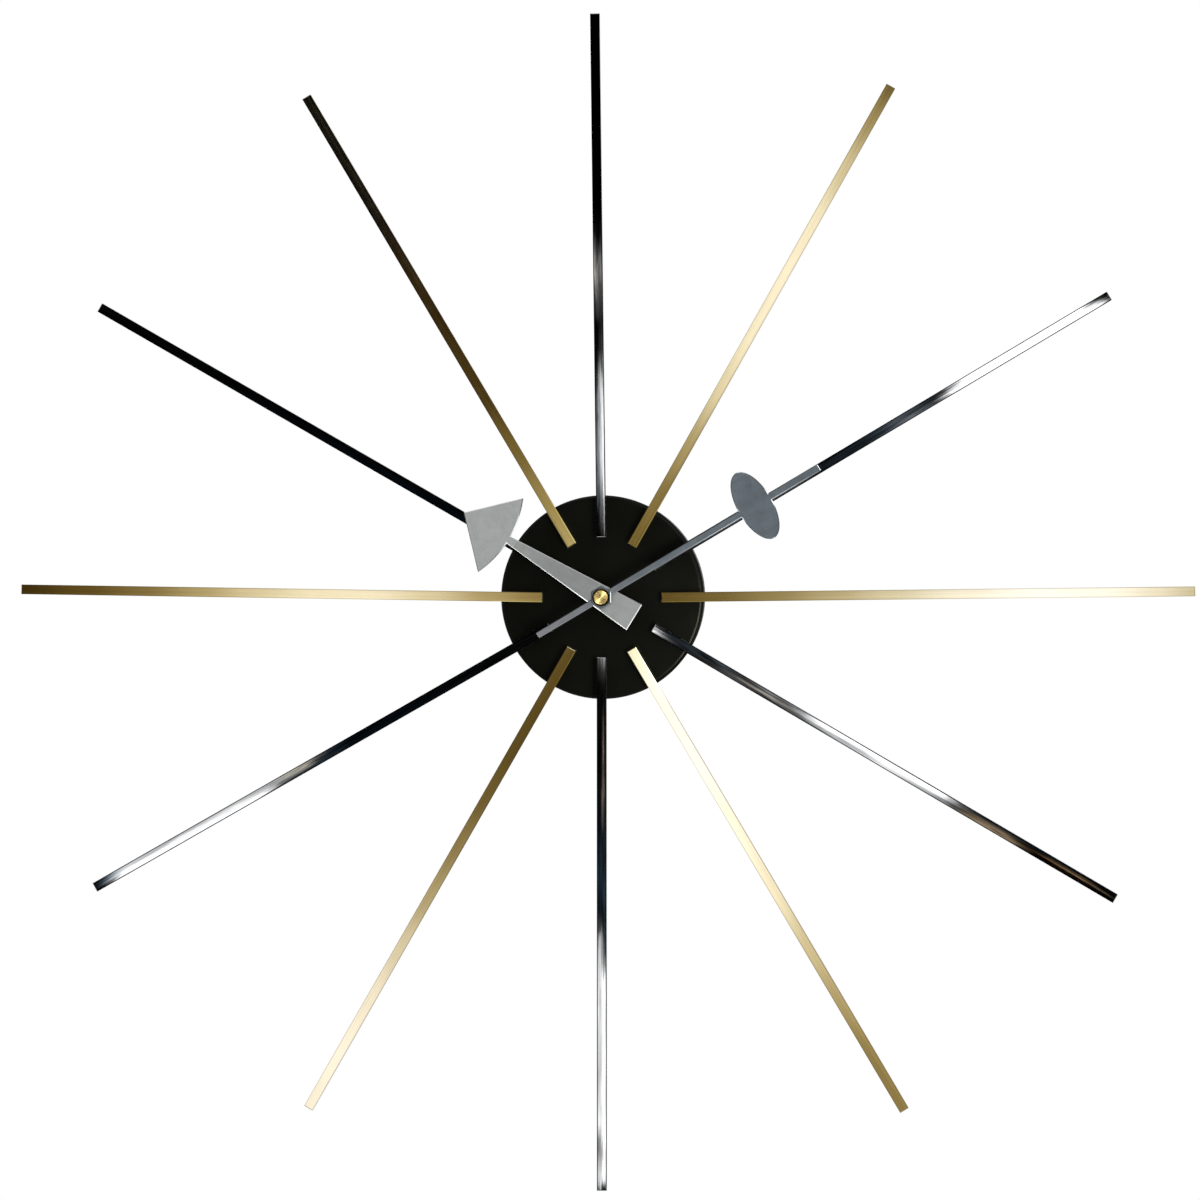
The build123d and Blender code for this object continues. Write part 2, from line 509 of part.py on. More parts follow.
def core_bar(low, high):
    return block(CORE_LEFT, COIL_X + CORE_HALF_W, low, high, STATOR_FRONT, CORE_FRONT)


core = core_bar(-10.1, 23.3)
for at in coil_screws_at:
    core -= through(0.85, STATOR_FRONT, CORE_FRONT, at)
nodes["coil_core"] = core

tube = block(COIL_X - TUBE_HALF_W, COIL_X + TUBE_HALF_W, BOBBIN_LOW, BOBBIN_HIGH, 13.3, 15.5)
bobbin = tube
for low in (BOBBIN_LOW, BOBBIN_HIGH - CHEEK_T):
    bobbin = bobbin + block(-26.6, -20.4, low, low + CHEEK_T, 11.2, 17.6)
nodes["coil_bobbin"] = bobbin - core_bar(BOBBIN_LOW - OVER, BOBBIN_HIGH + OVER)

half_winding = (BOBBIN_HIGH - BOBBIN_LOW) / 2 - CHEEK_T
winding = extrude(RectangleRounded(5.8, 6.0, 1.6), half_winding, both=True)
coil_centre = Pos(COIL_X, -(STATOR_FRONT + CORE_FRONT) / 2, (BOBBIN_LOW + BOBBIN_HIGH) / 2)
nodes["coil_winding"] = coil_centre * winding - tube

stator_screws = []
for at in coil_screws_at:
    screw = disc(1.4, 11.9, STATOR_BACK, at) + disc(0.8, STATOR_BACK, 16.6, at)
    stator_screws.append(screw - slot(at, 2, 0.2, 11.9, 0.4))
nodes["stator_screws"] = Part() + stator_screws

# ================================================================ electronics
nodes["circuit_board"] = block(8.0, 23.0, 12.0, 26.0, BOARD_BACK, BOARD_FRONT)
nodes["timer_chip"] = block(14.3, 18.7, 19.3, 23.7, BOARD_FRONT, BOARD_FRONT + 1.0)
nodes["quartz_crystal"] = rod(1.0, 6.0, 9.4, BOARD_FRONT + 1.0, 15.6)

# contact strips: left, right, low, high, back, front
tab_back, tab_front = CELL_DEPTH - 2, CELL_DEPTH + 2
nodes["positive_contact"] = blocks([
    (26.05, 26.35, -24.0, 18.0, 9.8, 13.8),
    (26.05, 26.35, -24.0, -13.0, 9.8, 18.0),
    (21.0, 26.35, 15.0, 18.0, BOARD_FRONT, 10.8),
    (25.75, 26.05, CELL_Z - 2, CELL_Z + 2, tab_back, tab_front),
])
negative = blocks([
    (-26.6, -26.3, -24.0, -11.75, 9.4, 18.0),
    (-26.6, 23.5, -12.0, -11.75, 9.4, 11.0),
    (23.2, 23.5, -12.0, 14.4, 9.4, 11.0),
    (20.4, 23.5, 12.4, 14.4, BOARD_FRONT, 10.8),
])
# bent tongue that bears on the cell, outline as (x, z)
tongue = poly([(-26.3, -23.9), (-24.85, -20.4), (-24.85, -18.4), (-26.3, -15.4),
               (-26.3, -15.8), (-25.15, -18.5), (-25.15, -20.3), (-26.3, -23.3)])
nodes["negative_contact"] = negative + sheet(tongue, tab_back, tab_front)

cell = rod(CELL_R, CELL_LENGTH - TERMINAL_LENGTH, CELL_LEFT, CELL_DEPTH, CELL_Z)
cell = fillet(cell.edges().filter_by(GeomType.CIRCLE), 0.6)
terminal = TERMINAL_LENGTH + TERMINAL_OVERLAP
cell += rod(TERMINAL_R, terminal, CELL_LEFT + CELL_LENGTH - terminal, CELL_DEPTH, CELL_Z)
nodes["battery_cell"] = cell

# ================================================================ write
os.makedirs("parts", exist_ok=True)
for name, shape in nodes.items():
    export_step(shape, f"parts/{name}.step")
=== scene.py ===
"""Looks of a sunburst wall clock: materials, studio lights, floor and camera.

The clock faces -Y with its hand axis on Y through the origin; +X is right and +Z is up.
Twelve rays stand round a black drum: brass at the odd hours, chrome at the even ones.
Lengths are metres, except where a comment says millimetres.
"""

import json
import math

import bpy
import numpy as np
from mathutils import Matrix, Vector


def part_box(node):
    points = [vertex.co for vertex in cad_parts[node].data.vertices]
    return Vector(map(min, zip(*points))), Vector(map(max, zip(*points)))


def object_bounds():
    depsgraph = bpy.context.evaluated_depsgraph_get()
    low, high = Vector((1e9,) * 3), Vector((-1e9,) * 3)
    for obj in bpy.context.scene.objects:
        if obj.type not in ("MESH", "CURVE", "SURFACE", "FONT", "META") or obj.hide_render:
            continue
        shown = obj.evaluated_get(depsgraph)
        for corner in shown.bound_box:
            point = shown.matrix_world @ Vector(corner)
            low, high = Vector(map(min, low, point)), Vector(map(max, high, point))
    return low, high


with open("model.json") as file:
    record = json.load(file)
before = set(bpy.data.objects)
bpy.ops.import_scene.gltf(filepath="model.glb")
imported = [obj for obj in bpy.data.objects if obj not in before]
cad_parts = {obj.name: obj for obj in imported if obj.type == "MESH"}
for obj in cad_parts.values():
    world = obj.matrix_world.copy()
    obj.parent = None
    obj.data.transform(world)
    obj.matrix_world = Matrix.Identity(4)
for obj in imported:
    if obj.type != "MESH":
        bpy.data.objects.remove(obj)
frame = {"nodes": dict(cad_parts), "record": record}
CAD_BOX = [[float(v) for v in corner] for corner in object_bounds()]
SLOT = {part["node"]: part["material_slot"] for part in frame["record"]["subparts"]}
NODES = frame["nodes"]

MM = 0.001

# camera
CAMERA_AT = Vector((0.0832, -1.400, 0.0229))
CAMERA_TURN = (-2.099, 2.791, -0.064)  # rotation vector in degrees, from level and looking along +Y
SENSOR_WIDTH = 36.0  # mm
LENS = 79.416  # mm
SHIFT_X, SHIFT_Y = -0.02766667, -0.12003333

# metal colours
BRASS = (0.90, 0.74, 0.45)
CHROME = (0.86, 0.87, 0.885)
HOUR_METAL = (0.80, 0.82, 0.81)
MINUTE_METAL = (0.60, 0.655, 0.71)

HOUR_TIP = 84.1  # mm from the axis to the hour hand's tip

REACH = 0.30  # how far in front of the clock the lights for mirror parts stand
NEAR = 0.10  # and those for brushed rays
FLOOR_DROP = 0.14
FLOOR_HALF = 6.0


def placed(right, up, back, origin):
    """Matrix of a camera or light from its own three axes and its place."""
    matrix = Matrix((right, up, back)).transposed().to_4x4()
    matrix.translation = origin
    return matrix


def make_camera():
    data = bpy.data.cameras.new("view_camera")
    camera = bpy.data.objects.new("view_camera", data)
    bpy.context.scene.collection.objects.link(camera)
    spin = Vector([math.radians(angle) for angle in CAMERA_TURN])
    level = Matrix(((1, 0, 0), (0, 0, -1), (0, 1, 0)))  # rows: right, down, forward
    right, down, forward = Matrix.Rotation(spin.length, 3, spin.normalized()) @ level
    camera.matrix_world = placed(right, -down, -forward, CAMERA_AT)
    data.sensor_width = SENSOR_WIDTH
    data.lens = LENS
    data.shift_x, data.shift_y = SHIFT_X, SHIFT_Y
    data.clip_start, data.clip_end = 0.02, 60.0
    bpy.context.scene.camera = camera


# ------------------------------------------------------------------ shader graphs
def operator(operation, flipped=False):
    def apply(wire, other):
        pair = (other, wire) if flipped else (wire, other)
        return wire.graph.math(operation, *pair)
    return apply


class Wire:
    """A node's output. Arithmetic on it adds Math nodes, its operands in written order."""

    def __init__(self, graph, socket):
        self.graph, self.socket = graph, socket

    __add__, __radd__ = operator("ADD"), operator("ADD", flipped=True)
    __sub__, __rsub__ = operator("SUBTRACT"), operator("SUBTRACT", flipped=True)
    __mul__ = operator("MULTIPLY")
    __truediv__ = operator("DIVIDE")

    def __abs__(self):
        return self.graph.math("ABSOLUTE", self)


class Graph:
    """Builds the shader tree of its owner. A value may be a number, a tuple or a Wire."""

    def __init__(self, owner, clear=True):
        owner.use_nodes = True
        self.tree = owner.node_tree
        if clear:
            self.tree.nodes.clear()

    def put(self, socket, value):
        if isinstance(value, Wire):
            self.tree.links.new(value.socket, socket)
        elif hasattr(value, "__len__"):
            alpha = (1.0,) * (len(socket.default_value) - len(value))
            socket.default_value = tuple(value) + alpha
        else:
            socket.default_value = value

    def add_node(self, kind, inputs=None, **properties):
        node = self.tree.nodes.new(kind)
        for key, value in properties.items():
            setattr(node, key, value)
        for key, value in (inputs or {}).items():
            self.put(node.inputs[key], value)
        return node

    def node(self, kind, inputs=None, output=0, **properties):
        return Wire(self, self.add_node(kind, inputs, **properties).outputs[output])

    def math(self, operation, first, second=0.0):
        inputs = {0: first, 1: second, 2: 0.0}
        return self.node("ShaderNodeMath", inputs, operation=operation)

    def vector_math(self, operation, first, second=(0, 0, 0), output=0):
        inputs = {0: first, 1: second}
        return self.node("ShaderNodeVectorMath", inputs, output, operation=operation)

    def scale(self, vector, factor):
        inputs = {0: vector, "Scale": factor}
        return self.node("ShaderNodeVectorMath", inputs, operation="SCALE")

    def add(self, first, second):
        return self.vector_math("ADD", first, second)

    def dot(self, first, second):
        return self.vector_math("DOT_PRODUCT", first, second, "Value")

    def length(self, vector):
        return self.vector_math("LENGTH", vector, output="Value")

    def unit(self, vector):
        return self.vector_math("NORMALIZE", vector)

    def vec(self, x, y, z):
        return self.node("ShaderNodeCombineXYZ", {0: x, 1: y, 2: z})

    def split(self, vector):
        return [Wire(self, s) for s in self.add_node("ShaderNodeSeparateXYZ", {0: vector}).outputs]

    def fade(self, value, start, end, low=0.0, high=1.0):
        """Smooth step from low to high as the value goes from start to end."""
        inputs = {0: value, 1: start, 2: end, 3: low, 4: high}
        return self.node("ShaderNodeMapRange", inputs, interpolation_type="SMOOTHSTEP", clamp=True)

    def mix_value(self, factor, first, second):
        return self.node("ShaderNodeMix", {0: factor, 2: first, 3: second}, data_type="FLOAT")

    def mix_colour(self, factor, first, second):
        inputs = {0: factor, 6: first, 7: second}
        return self.node("ShaderNodeMix", inputs, 2, data_type="RGBA")

    def noise(self, place, scale=1.0, detail=2.0, rough=0.5, distort=0.0):
        return self.node("ShaderNodeTexNoise", {
            "Vector": place, "Scale": scale, "Detail": detail, "Roughness": rough,
            "Distortion": distort})

    def grain(self, place, size, **noise):
        """Noise stretched to its own size along each of three coordinates."""
        return self.noise(self.vec(*[part / s for part, s in zip(place, size)]), **noise)

    def ramp(self, factor, stops):
        """Eased colour ramp through (position, grey or colour) stops."""
        node = self.add_node("ShaderNodeValToRGB")
        elements = node.color_ramp.elements
        node.color_ramp.interpolation = "EASE"
        while len(elements) > 1:
            elements.remove(elements[-1])
        for i, (position, colour) in enumerate(stops):
            position = min(1.0, max(0.0, position))
            element = elements[0] if i == 0 else elements.new(position)
            element.position = position
            rgb = tuple(colour) if hasattr(colour, "__len__") else (colour,) * 3
            element.color = rgb + (1.0,)
        self.put(node.inputs[0], factor)
        return Wire(self, node.outputs[0])

    def bump(self, height, distance, strength, normal=None):
        inputs = {"Height": height, "Distance": distance, "Strength": strength}
        if normal is not None:
            inputs["Normal"] = normal
        return self.node("ShaderNodeBump", inputs)


class Material(Graph):
    """A Principled material whose recipes work in object coordinates, in millimetres."""

    INPUTS = {"base": "Base Color", "metal": "Metallic", "rough": "Roughness", "normal": "Normal",
              "aniso": "Anisotropic", "tangent": "Tangent", "spec": "Specular IOR Level",
              "coat": "Coat Weight", "coat_rough": "Coat Roughness", "sheen": "Sheen Weight",
              "sub": "Subsurface Weight"}

    def __init__(self, name):
        self.material = bpy.data.materials.new(name)
        super().__init__(self.material)
        self.place = self.scale(self.node("ShaderNodeTexCoord", output="Object"), 1 / MM)

    def finish(self, **values):
        inputs = {self.INPUTS[key]: value for key, value in values.items()}
        shader = self.node("ShaderNodeBsdfPrincipled", inputs)
        self.add_node("ShaderNodeOutputMaterial", {0: shader})
        return self.material

    def axes(self, direction):
        """Distances along and across an in-plane direction (x, z), and forward of the axis origin."""
        x, z = direction
        along = self.dot(self.place, (x, 0.0, z))
        across = self.dot(self.place, (z, 0.0, -x))
        return along, across, self.dot(self.place, (0.0, -1.0, 0.0))

    def convert(self, vector, source, target):
        return self.node("ShaderNodeVectorTransform", {0: vector}, vector_type="VECTOR",
                         convert_from=source, convert_to=target)

    def world(self, vector):
        """A direction of the piece turned into world space."""
        return self.convert(vector, "OBJECT", "WORLD")

    def face(self):
        """The unit surface normal in the piece's own frame."""
        normal = self.node("ShaderNodeNewGeometry", output="Normal")
        return self.unit(self.convert(normal, "WORLD", "OBJECT"))

    def crisp(self, direction, pull=0.8):
        """Normal of a bar with barely broken long edges: their rounding leans to the front."""
        normal = self.face()
        y = self.split(normal)[1]
        end = abs(self.dot(normal, (direction[0], 0.0, direction[1])))
        rounding = self.fade(abs(y), 0.12, 0.32) * self.fade(end, 0.25, 0.5, 1.0, 0.0)
        front = self.vec(0.0, self.math("SIGN", y), 0.0)
        lean = self.add(self.scale(front, rounding * pull),
                        self.scale(normal, 1.0 - rounding * pull))
        return self.world(self.unit(lean))

    def front_mask(self):
        """1 on faces that look along the clock's axis, 0 on edges and bevels."""
        return self.fade(abs(self.split(self.face())[1]), 0.90, 0.985)


def shade(base, factor):
    return tuple(min(1.0, channel * factor) for channel in base)


# ------------------------------------------------------------------ surface recipes
# In each recipe "tone" multiplies the base colour; sizes and radii are mm, bump distances metres.
def brushed(name, direction, base, rough, aniso, streak, length, band, edge, mottle,
            depth=0.004, edge_rough=0.16, shift=0.0, bar=False, contrast=0.34):
    """Metal brushed one way: fine streaks, broader bands, mottling and polished bevels.
    streak and band are grain widths, edge the bevels' base tone (above 1 a painted highlight on
    them), shift moves the pattern."""
    mat = Material(name)
    a, c, d = along, across, depth_place = mat.axes(direction)
    fine = mat.grain((along, across + shift, depth_place), size=(length, streak, streak),
                     detail=4.0, rough=0.62)
    wide = mat.grain((along, across + shift, depth_place), size=(length * 4.5, band, band))
    spots = mat.noise(mat.add(mat.place, (shift * 3.1, 0.0, shift)),
                      scale=0.16, detail=3.0, rough=0.55, distort=0.4)
    front = mat.front_mask()
    grain = (fine - 0.5) * 0.55 + (wide - 0.5) * 0.65
    tone = 1.0 + (grain * contrast + (spots - 0.5) * (mottle * 2))
    if bar:
        # painted highlight: the bevels' base colour is lighter at both ends of a bar
        ends = mat.math("MAXIMUM", mat.fade(along, 36.0, 62.0, 1.0, 0.0),
                        mat.fade(along, 290.0, 303.0))
        edge = mat.mix_value(ends, edge, 1.30)
    tone = mat.mix_value(front, edge, tone)
    face_rough = rough + (grain * 0.22 + (spots - 0.5) * 0.10)
    return mat.finish(
        base=mat.scale(base, tone),
        metal=1.0,
        rough=mat.mix_value(front, edge_rough, face_rough),
        aniso=front * aniso,
        tangent=mat.world(mat.vec(direction[1], 0.0, -direction[0])),
        normal=mat.bump(fine * 0.6 + wide * 0.4, distance=depth * MM, strength=0.35,
                        normal=mat.crisp(direction) if bar else None))


def polished(name, direction, seed):
    """Bright plated bar: mirror with slight waviness, hairlines and faint wipe marks."""
    mat = Material(name)
    along, across, depth = mat.axes(direction)
    wave = mat.noise(mat.vec(along / 46.0 + seed, across / 6.0, depth / 6.0), detail=1.0)
    ripple = mat.noise(mat.vec(along / 11.0 + seed, across / 2.6, depth / 2.6))
    hair = mat.grain((along, across, depth), size=(9.0, 0.11, 0.11), detail=3.0)
    wipe = mat.noise(mat.add(mat.place, (seed * 7.0, 0.0, seed * 3.0)),
                     scale=0.10, detail=3.0, rough=0.6, distort=0.8)
    smear = mat.fade(wipe, 0.52, 0.74)
    rough = 0.016 + (smear * 0.012 + mat.fade(hair, 0.55, 0.8) * 0.010)
    colour = mat.mix_colour(smear, CHROME, shade(CHROME, 0.94))
    colour = mat.mix_colour(mat.fade(hair, 0.62, 0.82, 0.0, 0.10), colour, shade(CHROME, 0.8))
    normal = mat.bump(wave * 0.010 + ripple * 0.0016, distance=0.001, strength=0.8,
                      normal=mat.crisp(direction))
    return mat.finish(base=colour, metal=1.0, rough=rough, normal=normal)


def turned(name, base, rough=0.34, aniso=1.0, pitch=0.22, rim=3.50, dark=0.05):
    """Lathe-turned face: rings round the hand axis; outside the rim radius the colour is darkened as
    painted shade.
    """
    mat = Material(name)
    x, _, z = mat.split(mat.place)
    flat = mat.vec(x, 0.0, z)
    radius = mat.length(flat)
    rings = mat.math("SINE", radius * (2 * math.pi / pitch))
    uneven = mat.noise(mat.vec(radius / 0.10, 0.0, 0.0), detail=3.0)
    spots = mat.noise(mat.place, scale=0.9, detail=3.0, rough=0.6)
    edge = mat.fade(radius, rim, rim + 0.12)
    tone = 1.0 + (rings * 0.03 + (uneven - 0.5) * 0.22)
    tone = tone + (spots - 0.5) * 0.10
    # painted shade: the ring outside the rim radius is darkened to dark times the base
    tone = tone * mat.mix_value(edge, 1.0, dark)
    return mat.finish(
        base=mat.scale(base, tone),
        metal=1.0,
        rough=rough + (uneven - 0.5) * 0.12,
        aniso=mat.mix_value(edge, aniso, 0.0),
        tangent=mat.world(mat.unit(flat)),
        normal=mat.bump(rings * 0.5 + uneven, distance=0.000002, strength=0.20))


def lacquer(name, base=(0.0040, 0.0039, 0.0025)):
    """Black satin lacquer: faint orange peel, dust-fine sparkle, soft rub marks."""
    mat = Material(name)
    peel = mat.noise(mat.place, scale=0.85, detail=3.0, rough=0.55)
    broad = mat.noise(mat.place, scale=0.045, distort=0.3)
    dust = mat.noise(mat.place, scale=5.5, rough=0.7)
    rub_place = mat.vec(mat.split(mat.place)[0] * 0.35, 0.0, mat.split(mat.place)[2] * 0.05)
    rub = mat.fade(mat.noise(rub_place, detail=3.0), 0.55, 0.8)
    tone = 1.0 + ((broad - 0.5) * 0.5 + mat.fade(dust, 0.72, 0.85) * 0.9)
    return mat.finish(
        base=mat.scale(base, tone),
        metal=0.0,
        rough=0.30 + ((broad - 0.5) * 0.12 + rub * 0.05),
        spec=mat.mix_value(mat.front_mask(), 0.14, 0.30),
        normal=mat.bump(peel, distance=0.000012, strength=0.35))


def plated(name, base, rough, tint=(0.60, 0.58, 0.50), coarse=1.0):
    """Plated or plain sheet metal: rolled grain, clouds of tint, crystal flecks."""
    mat = Material(name)
    roll = mat.grain(mat.split(mat.place), size=(18.0, 0.4, 0.22 * coarse), detail=4.0, rough=0.6)
    cloud = mat.noise(mat.add(mat.place, (0.0, 0.0, 0.0)),
                      scale=0.07, detail=3.0, rough=0.55, distort=0.6)
    crystal = mat.node("ShaderNodeTexVoronoi", {"Vector": mat.place, "Scale": 0.55},
                       output="Color", feature="F1")
    fleck = 0.94 + mat.split(crystal)[0] * 0.12
    tone = fleck * (1.0 + (roll - 0.5) * 0.30)
    colour = mat.mix_colour(mat.fade(cloud, 0.40, 0.75, 0.0, 0.7),
                            mat.scale(base, tone), mat.scale(tint, tone))
    return mat.finish(
        base=colour,
        metal=1.0,
        rough=rough + ((roll - 0.5) * 0.16 + (cloud - 0.5) * 0.18),
        normal=mat.bump(roll, distance=0.000006, strength=0.4))


def wheel_brass(name, base=(0.72, 0.52, 0.24), dull=(0.46, 0.30, 0.12), rough=0.26):
    """Stamped brass: fine straight grain, slight tarnish in patches."""
    mat = Material(name)
    grain = mat.grain(mat.split(mat.place), size=(6.0, 0.15, 0.13), detail=3.0)
    tarnish = mat.noise(mat.place, scale=0.35, detail=3.0, rough=0.6, distort=0.5)
    tone = 1.0 + (grain - 0.5) * 0.4
    colour = mat.mix_colour(mat.fade(tarnish, 0.45, 0.75, 0.0, 0.6),
                            mat.scale(base, tone), mat.scale(dull, tone))
    return mat.finish(base=colour, metal=1.0, rough=rough + (grain - 0.5) * 0.2,
                      normal=mat.bump(grain, distance=0.000004, strength=0.4))


def winding(name, pitch=0.16):
    """Enamelled copper winding: a fine helical pitch along the coil, which stands along z."""
    mat = Material(name)
    x, y, z = mat.split(mat.place)
    turns = mat.math("SINE", (z + x * 0.02) * (2 * math.pi / pitch))
    layer = mat.grain((x, y, z), size=(3.0, 3.0, 0.35))
    return mat.finish(
        base=mat.mix_colour(layer, (0.62, 0.24, 0.08), (0.36, 0.11, 0.035)),
        metal=0.75, rough=0.28, coat=0.5, coat_rough=0.12,
        normal=mat.bump(turns, distance=0.00005, strength=0.5))


def moulded(name, base, rough, fineness=3.2, depth=0.018, sub=0.0):
    """Injection moulded plastic: spark-eroded texture, slight flow clouding."""
    mat = Material(name)
    erosion = mat.noise(mat.place, scale=fineness, detail=3.0, rough=0.65)
    flow = mat.noise(mat.vec(mat.split(mat.place)[0] * 0.05, mat.split(mat.place)[1] * 0.2,
                             mat.split(mat.place)[2] * 0.12))
    tone = 1.0 + ((erosion - 0.5) * 0.25 + (flow - 0.5) * 0.20)
    return mat.finish(
        base=mat.scale(base, tone),
        rough=rough + ((erosion - 0.5) * 0.25 + (flow - 0.5) * 0.10),
        spec=0.5, sub=sub,
        normal=mat.bump(erosion, distance=depth * MM, strength=0.5))


def rubber(name):
    """Dull black rubber with a greyer bloom."""
    mat = Material(name)
    fine = mat.noise(mat.place, scale=4.0, detail=3.0, rough=0.7)
    bloom = mat.noise(mat.place, scale=0.3)
    return mat.finish(
        base=mat.mix_colour(mat.fade(bloom, 0.45, 0.8, 0.0, 0.5),
                            (0.014, 0.014, 0.014), (0.040, 0.039, 0.037)),
        rough=0.72 + (fine - 0.5) * 0.2,
        spec=0.35, sheen=0.15,
        normal=mat.bump(fine, distance=0.00003, strength=0.6))


def board(name):
    """Solder-masked circuit board with its tracks just showing under the mask."""
    mat = Material(name)
    x, _, z = mat.split(mat.place)
    winding_x = x + mat.noise(mat.place, scale=0.25, detail=0.0) * 3.0
    track = mat.fade(mat.math("PINGPONG", winding_x, 0.8), 0.30, 0.42)
    weave = mat.math("SINE", x * 9.0) * mat.math("SINE", z * 9.0)
    colour = mat.mix_colour(track, (0.010, 0.085, 0.030), (0.030, 0.19, 0.065))
    colour = mat.mix_colour(mat.fade(weave, 0.0, 1.0, 0.0, 0.25), colour, (0.05, 0.20, 0.08))
    return mat.finish(base=colour, rough=0.32, coat=0.4, coat_rough=0.18,
                      normal=mat.bump(track, distance=0.00004, strength=0.5))


def ferrite(name):
    """Dark, grainy magnet."""
    mat = Material(name)
    grain = mat.noise(mat.place, scale=6.0, detail=4.0, rough=0.7)
    return mat.finish(
        base=mat.mix_colour(grain, (0.055, 0.056, 0.060), (0.15, 0.15, 0.16)),
        metal=0.6,
        rough=0.42 + (grain - 0.5) * 0.25,
        normal=mat.bump(grain, distance=0.00002, strength=0.6))


def cell(name, node):
    """AA cell along x: a two-tone sleeve between bare steel ends."""
    low, high = [[v * 1000 for v in corner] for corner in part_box(node)]
    start, end = low[0], high[0]
    middle_y, middle_z = (low[1] + high[1]) / 2, (low[2] + high[2]) / 2
    mat = Material(name)
    x, y, z = mat.split(mat.place)
    radius = mat.length(mat.vec(0.0, y - middle_y, z - middle_z))
    sleeve = mat.fade(x, start + 0.8, start + 1.1) * (1.0 - mat.fade(x, end - 2.6, end - 2.3))
    sleeve = sleeve * mat.fade(radius, 5.4, 5.7)
    # copper-coloured band at the +X end, with a pale ring beside it
    band = mat.fade(x, end - 15.2, end - 15.0)
    ring = mat.fade(x, end - 16.4, end - 16.2) * (1.0 - band)
    ink = mat.mix_colour(band, (0.018, 0.020, 0.024), (0.52, 0.235, 0.075))
    ink = mat.mix_colour(ring, ink, (0.62, 0.62, 0.60))
    scuff = mat.grain((x, y, z), size=(5.0, 0.6, 0.6), detail=3.0)
    ink = mat.mix_colour(mat.fade(scuff, 0.66, 0.85, 0.0, 0.25), ink, (0.5, 0.5, 0.5))
    spun = mat.noise(mat.vec(0.0, radius / 0.25, 0.0))
    steel = mat.scale((0.66, 0.655, 0.63), 0.9 + spun * 0.25)
    shiny_band = sleeve * (band * 0.55)
    return mat.finish(
        base=mat.mix_colour(sleeve, steel, ink),
        metal=(1.0 - sleeve) + shiny_band,
        rough=mat.mix_value(sleeve, 0.24, 0.30) + (scuff - 0.5) * 0.15,
        coat=sleeve * 0.6, coat_rough=0.10,
        normal=mat.bump(scuff, distance=0.00001, strength=0.5))


# ------------------------------------------------------------------ rays and hands, measured
def outline(node):
    """The node's vertices, and the same seen from the front as (x, z)."""
    points = np.array([vertex.co for vertex in NODES[node].data.vertices], float)
    return points, points[:, [0, 2]]


def arm_line(node):
    """Centre line of a ray: directions along and across it, sideways offset, end radii, front y."""
    points, flat = outline(node)
    middle = (flat.min(0) + flat.max(0)) / 2
    _, vectors = np.linalg.eigh(np.cov((flat - flat.mean(0)).T))
    along = vectors[:, 1]
    if along @ middle < 0:
        along = -along
    across = np.array([along[1], -along[0]])
    radii, sides = flat @ along, flat @ across
    return {"along": (float(along[0]), float(along[1])),
            "across": (float(across[0]), float(across[1])),
            "offset": float((sides.min() + sides.max()) / 2),
            "inner": float(radii.min()), "outer": float(radii.max()),
            "front": float(points[:, 1].min())}


def hand_line(node):
    """In-plane direction of a hand, from the axis to its far end."""
    _, flat = outline(node)
    squares = (flat ** 2).sum(1)
    tip = flat[np.argmax(squares)]
    far = flat[squares > 0.97 * (tip ** 2).sum()].mean(0)
    direction = far / np.linalg.norm(far)
    return (float(direction[0]), float(direction[1]))


def head_radius():
    """Radius in mm of the hour head's inner arc about the tip, from the widest corner."""
    _, flat = outline("hour_hand")
    flat = flat * 1000
    along, across = flat @ np.array(HOUR), flat @ np.array([HOUR[1], -HOUR[0]])
    outer = along > 30
    i = np.argmax(np.abs(across[outer]))
    return float(math.hypot(along[outer][i] - along.max(), across[outer][i]))


ARMS = {int(n[4:]) % 12: arm_line(n) for n in NODES if n.startswith("ray_") and n[4:].isdigit()}
HOUR, MINUTE = hand_line("hour_hand"), hand_line("minute_hand")
HEAD_RADIUS = head_radius()


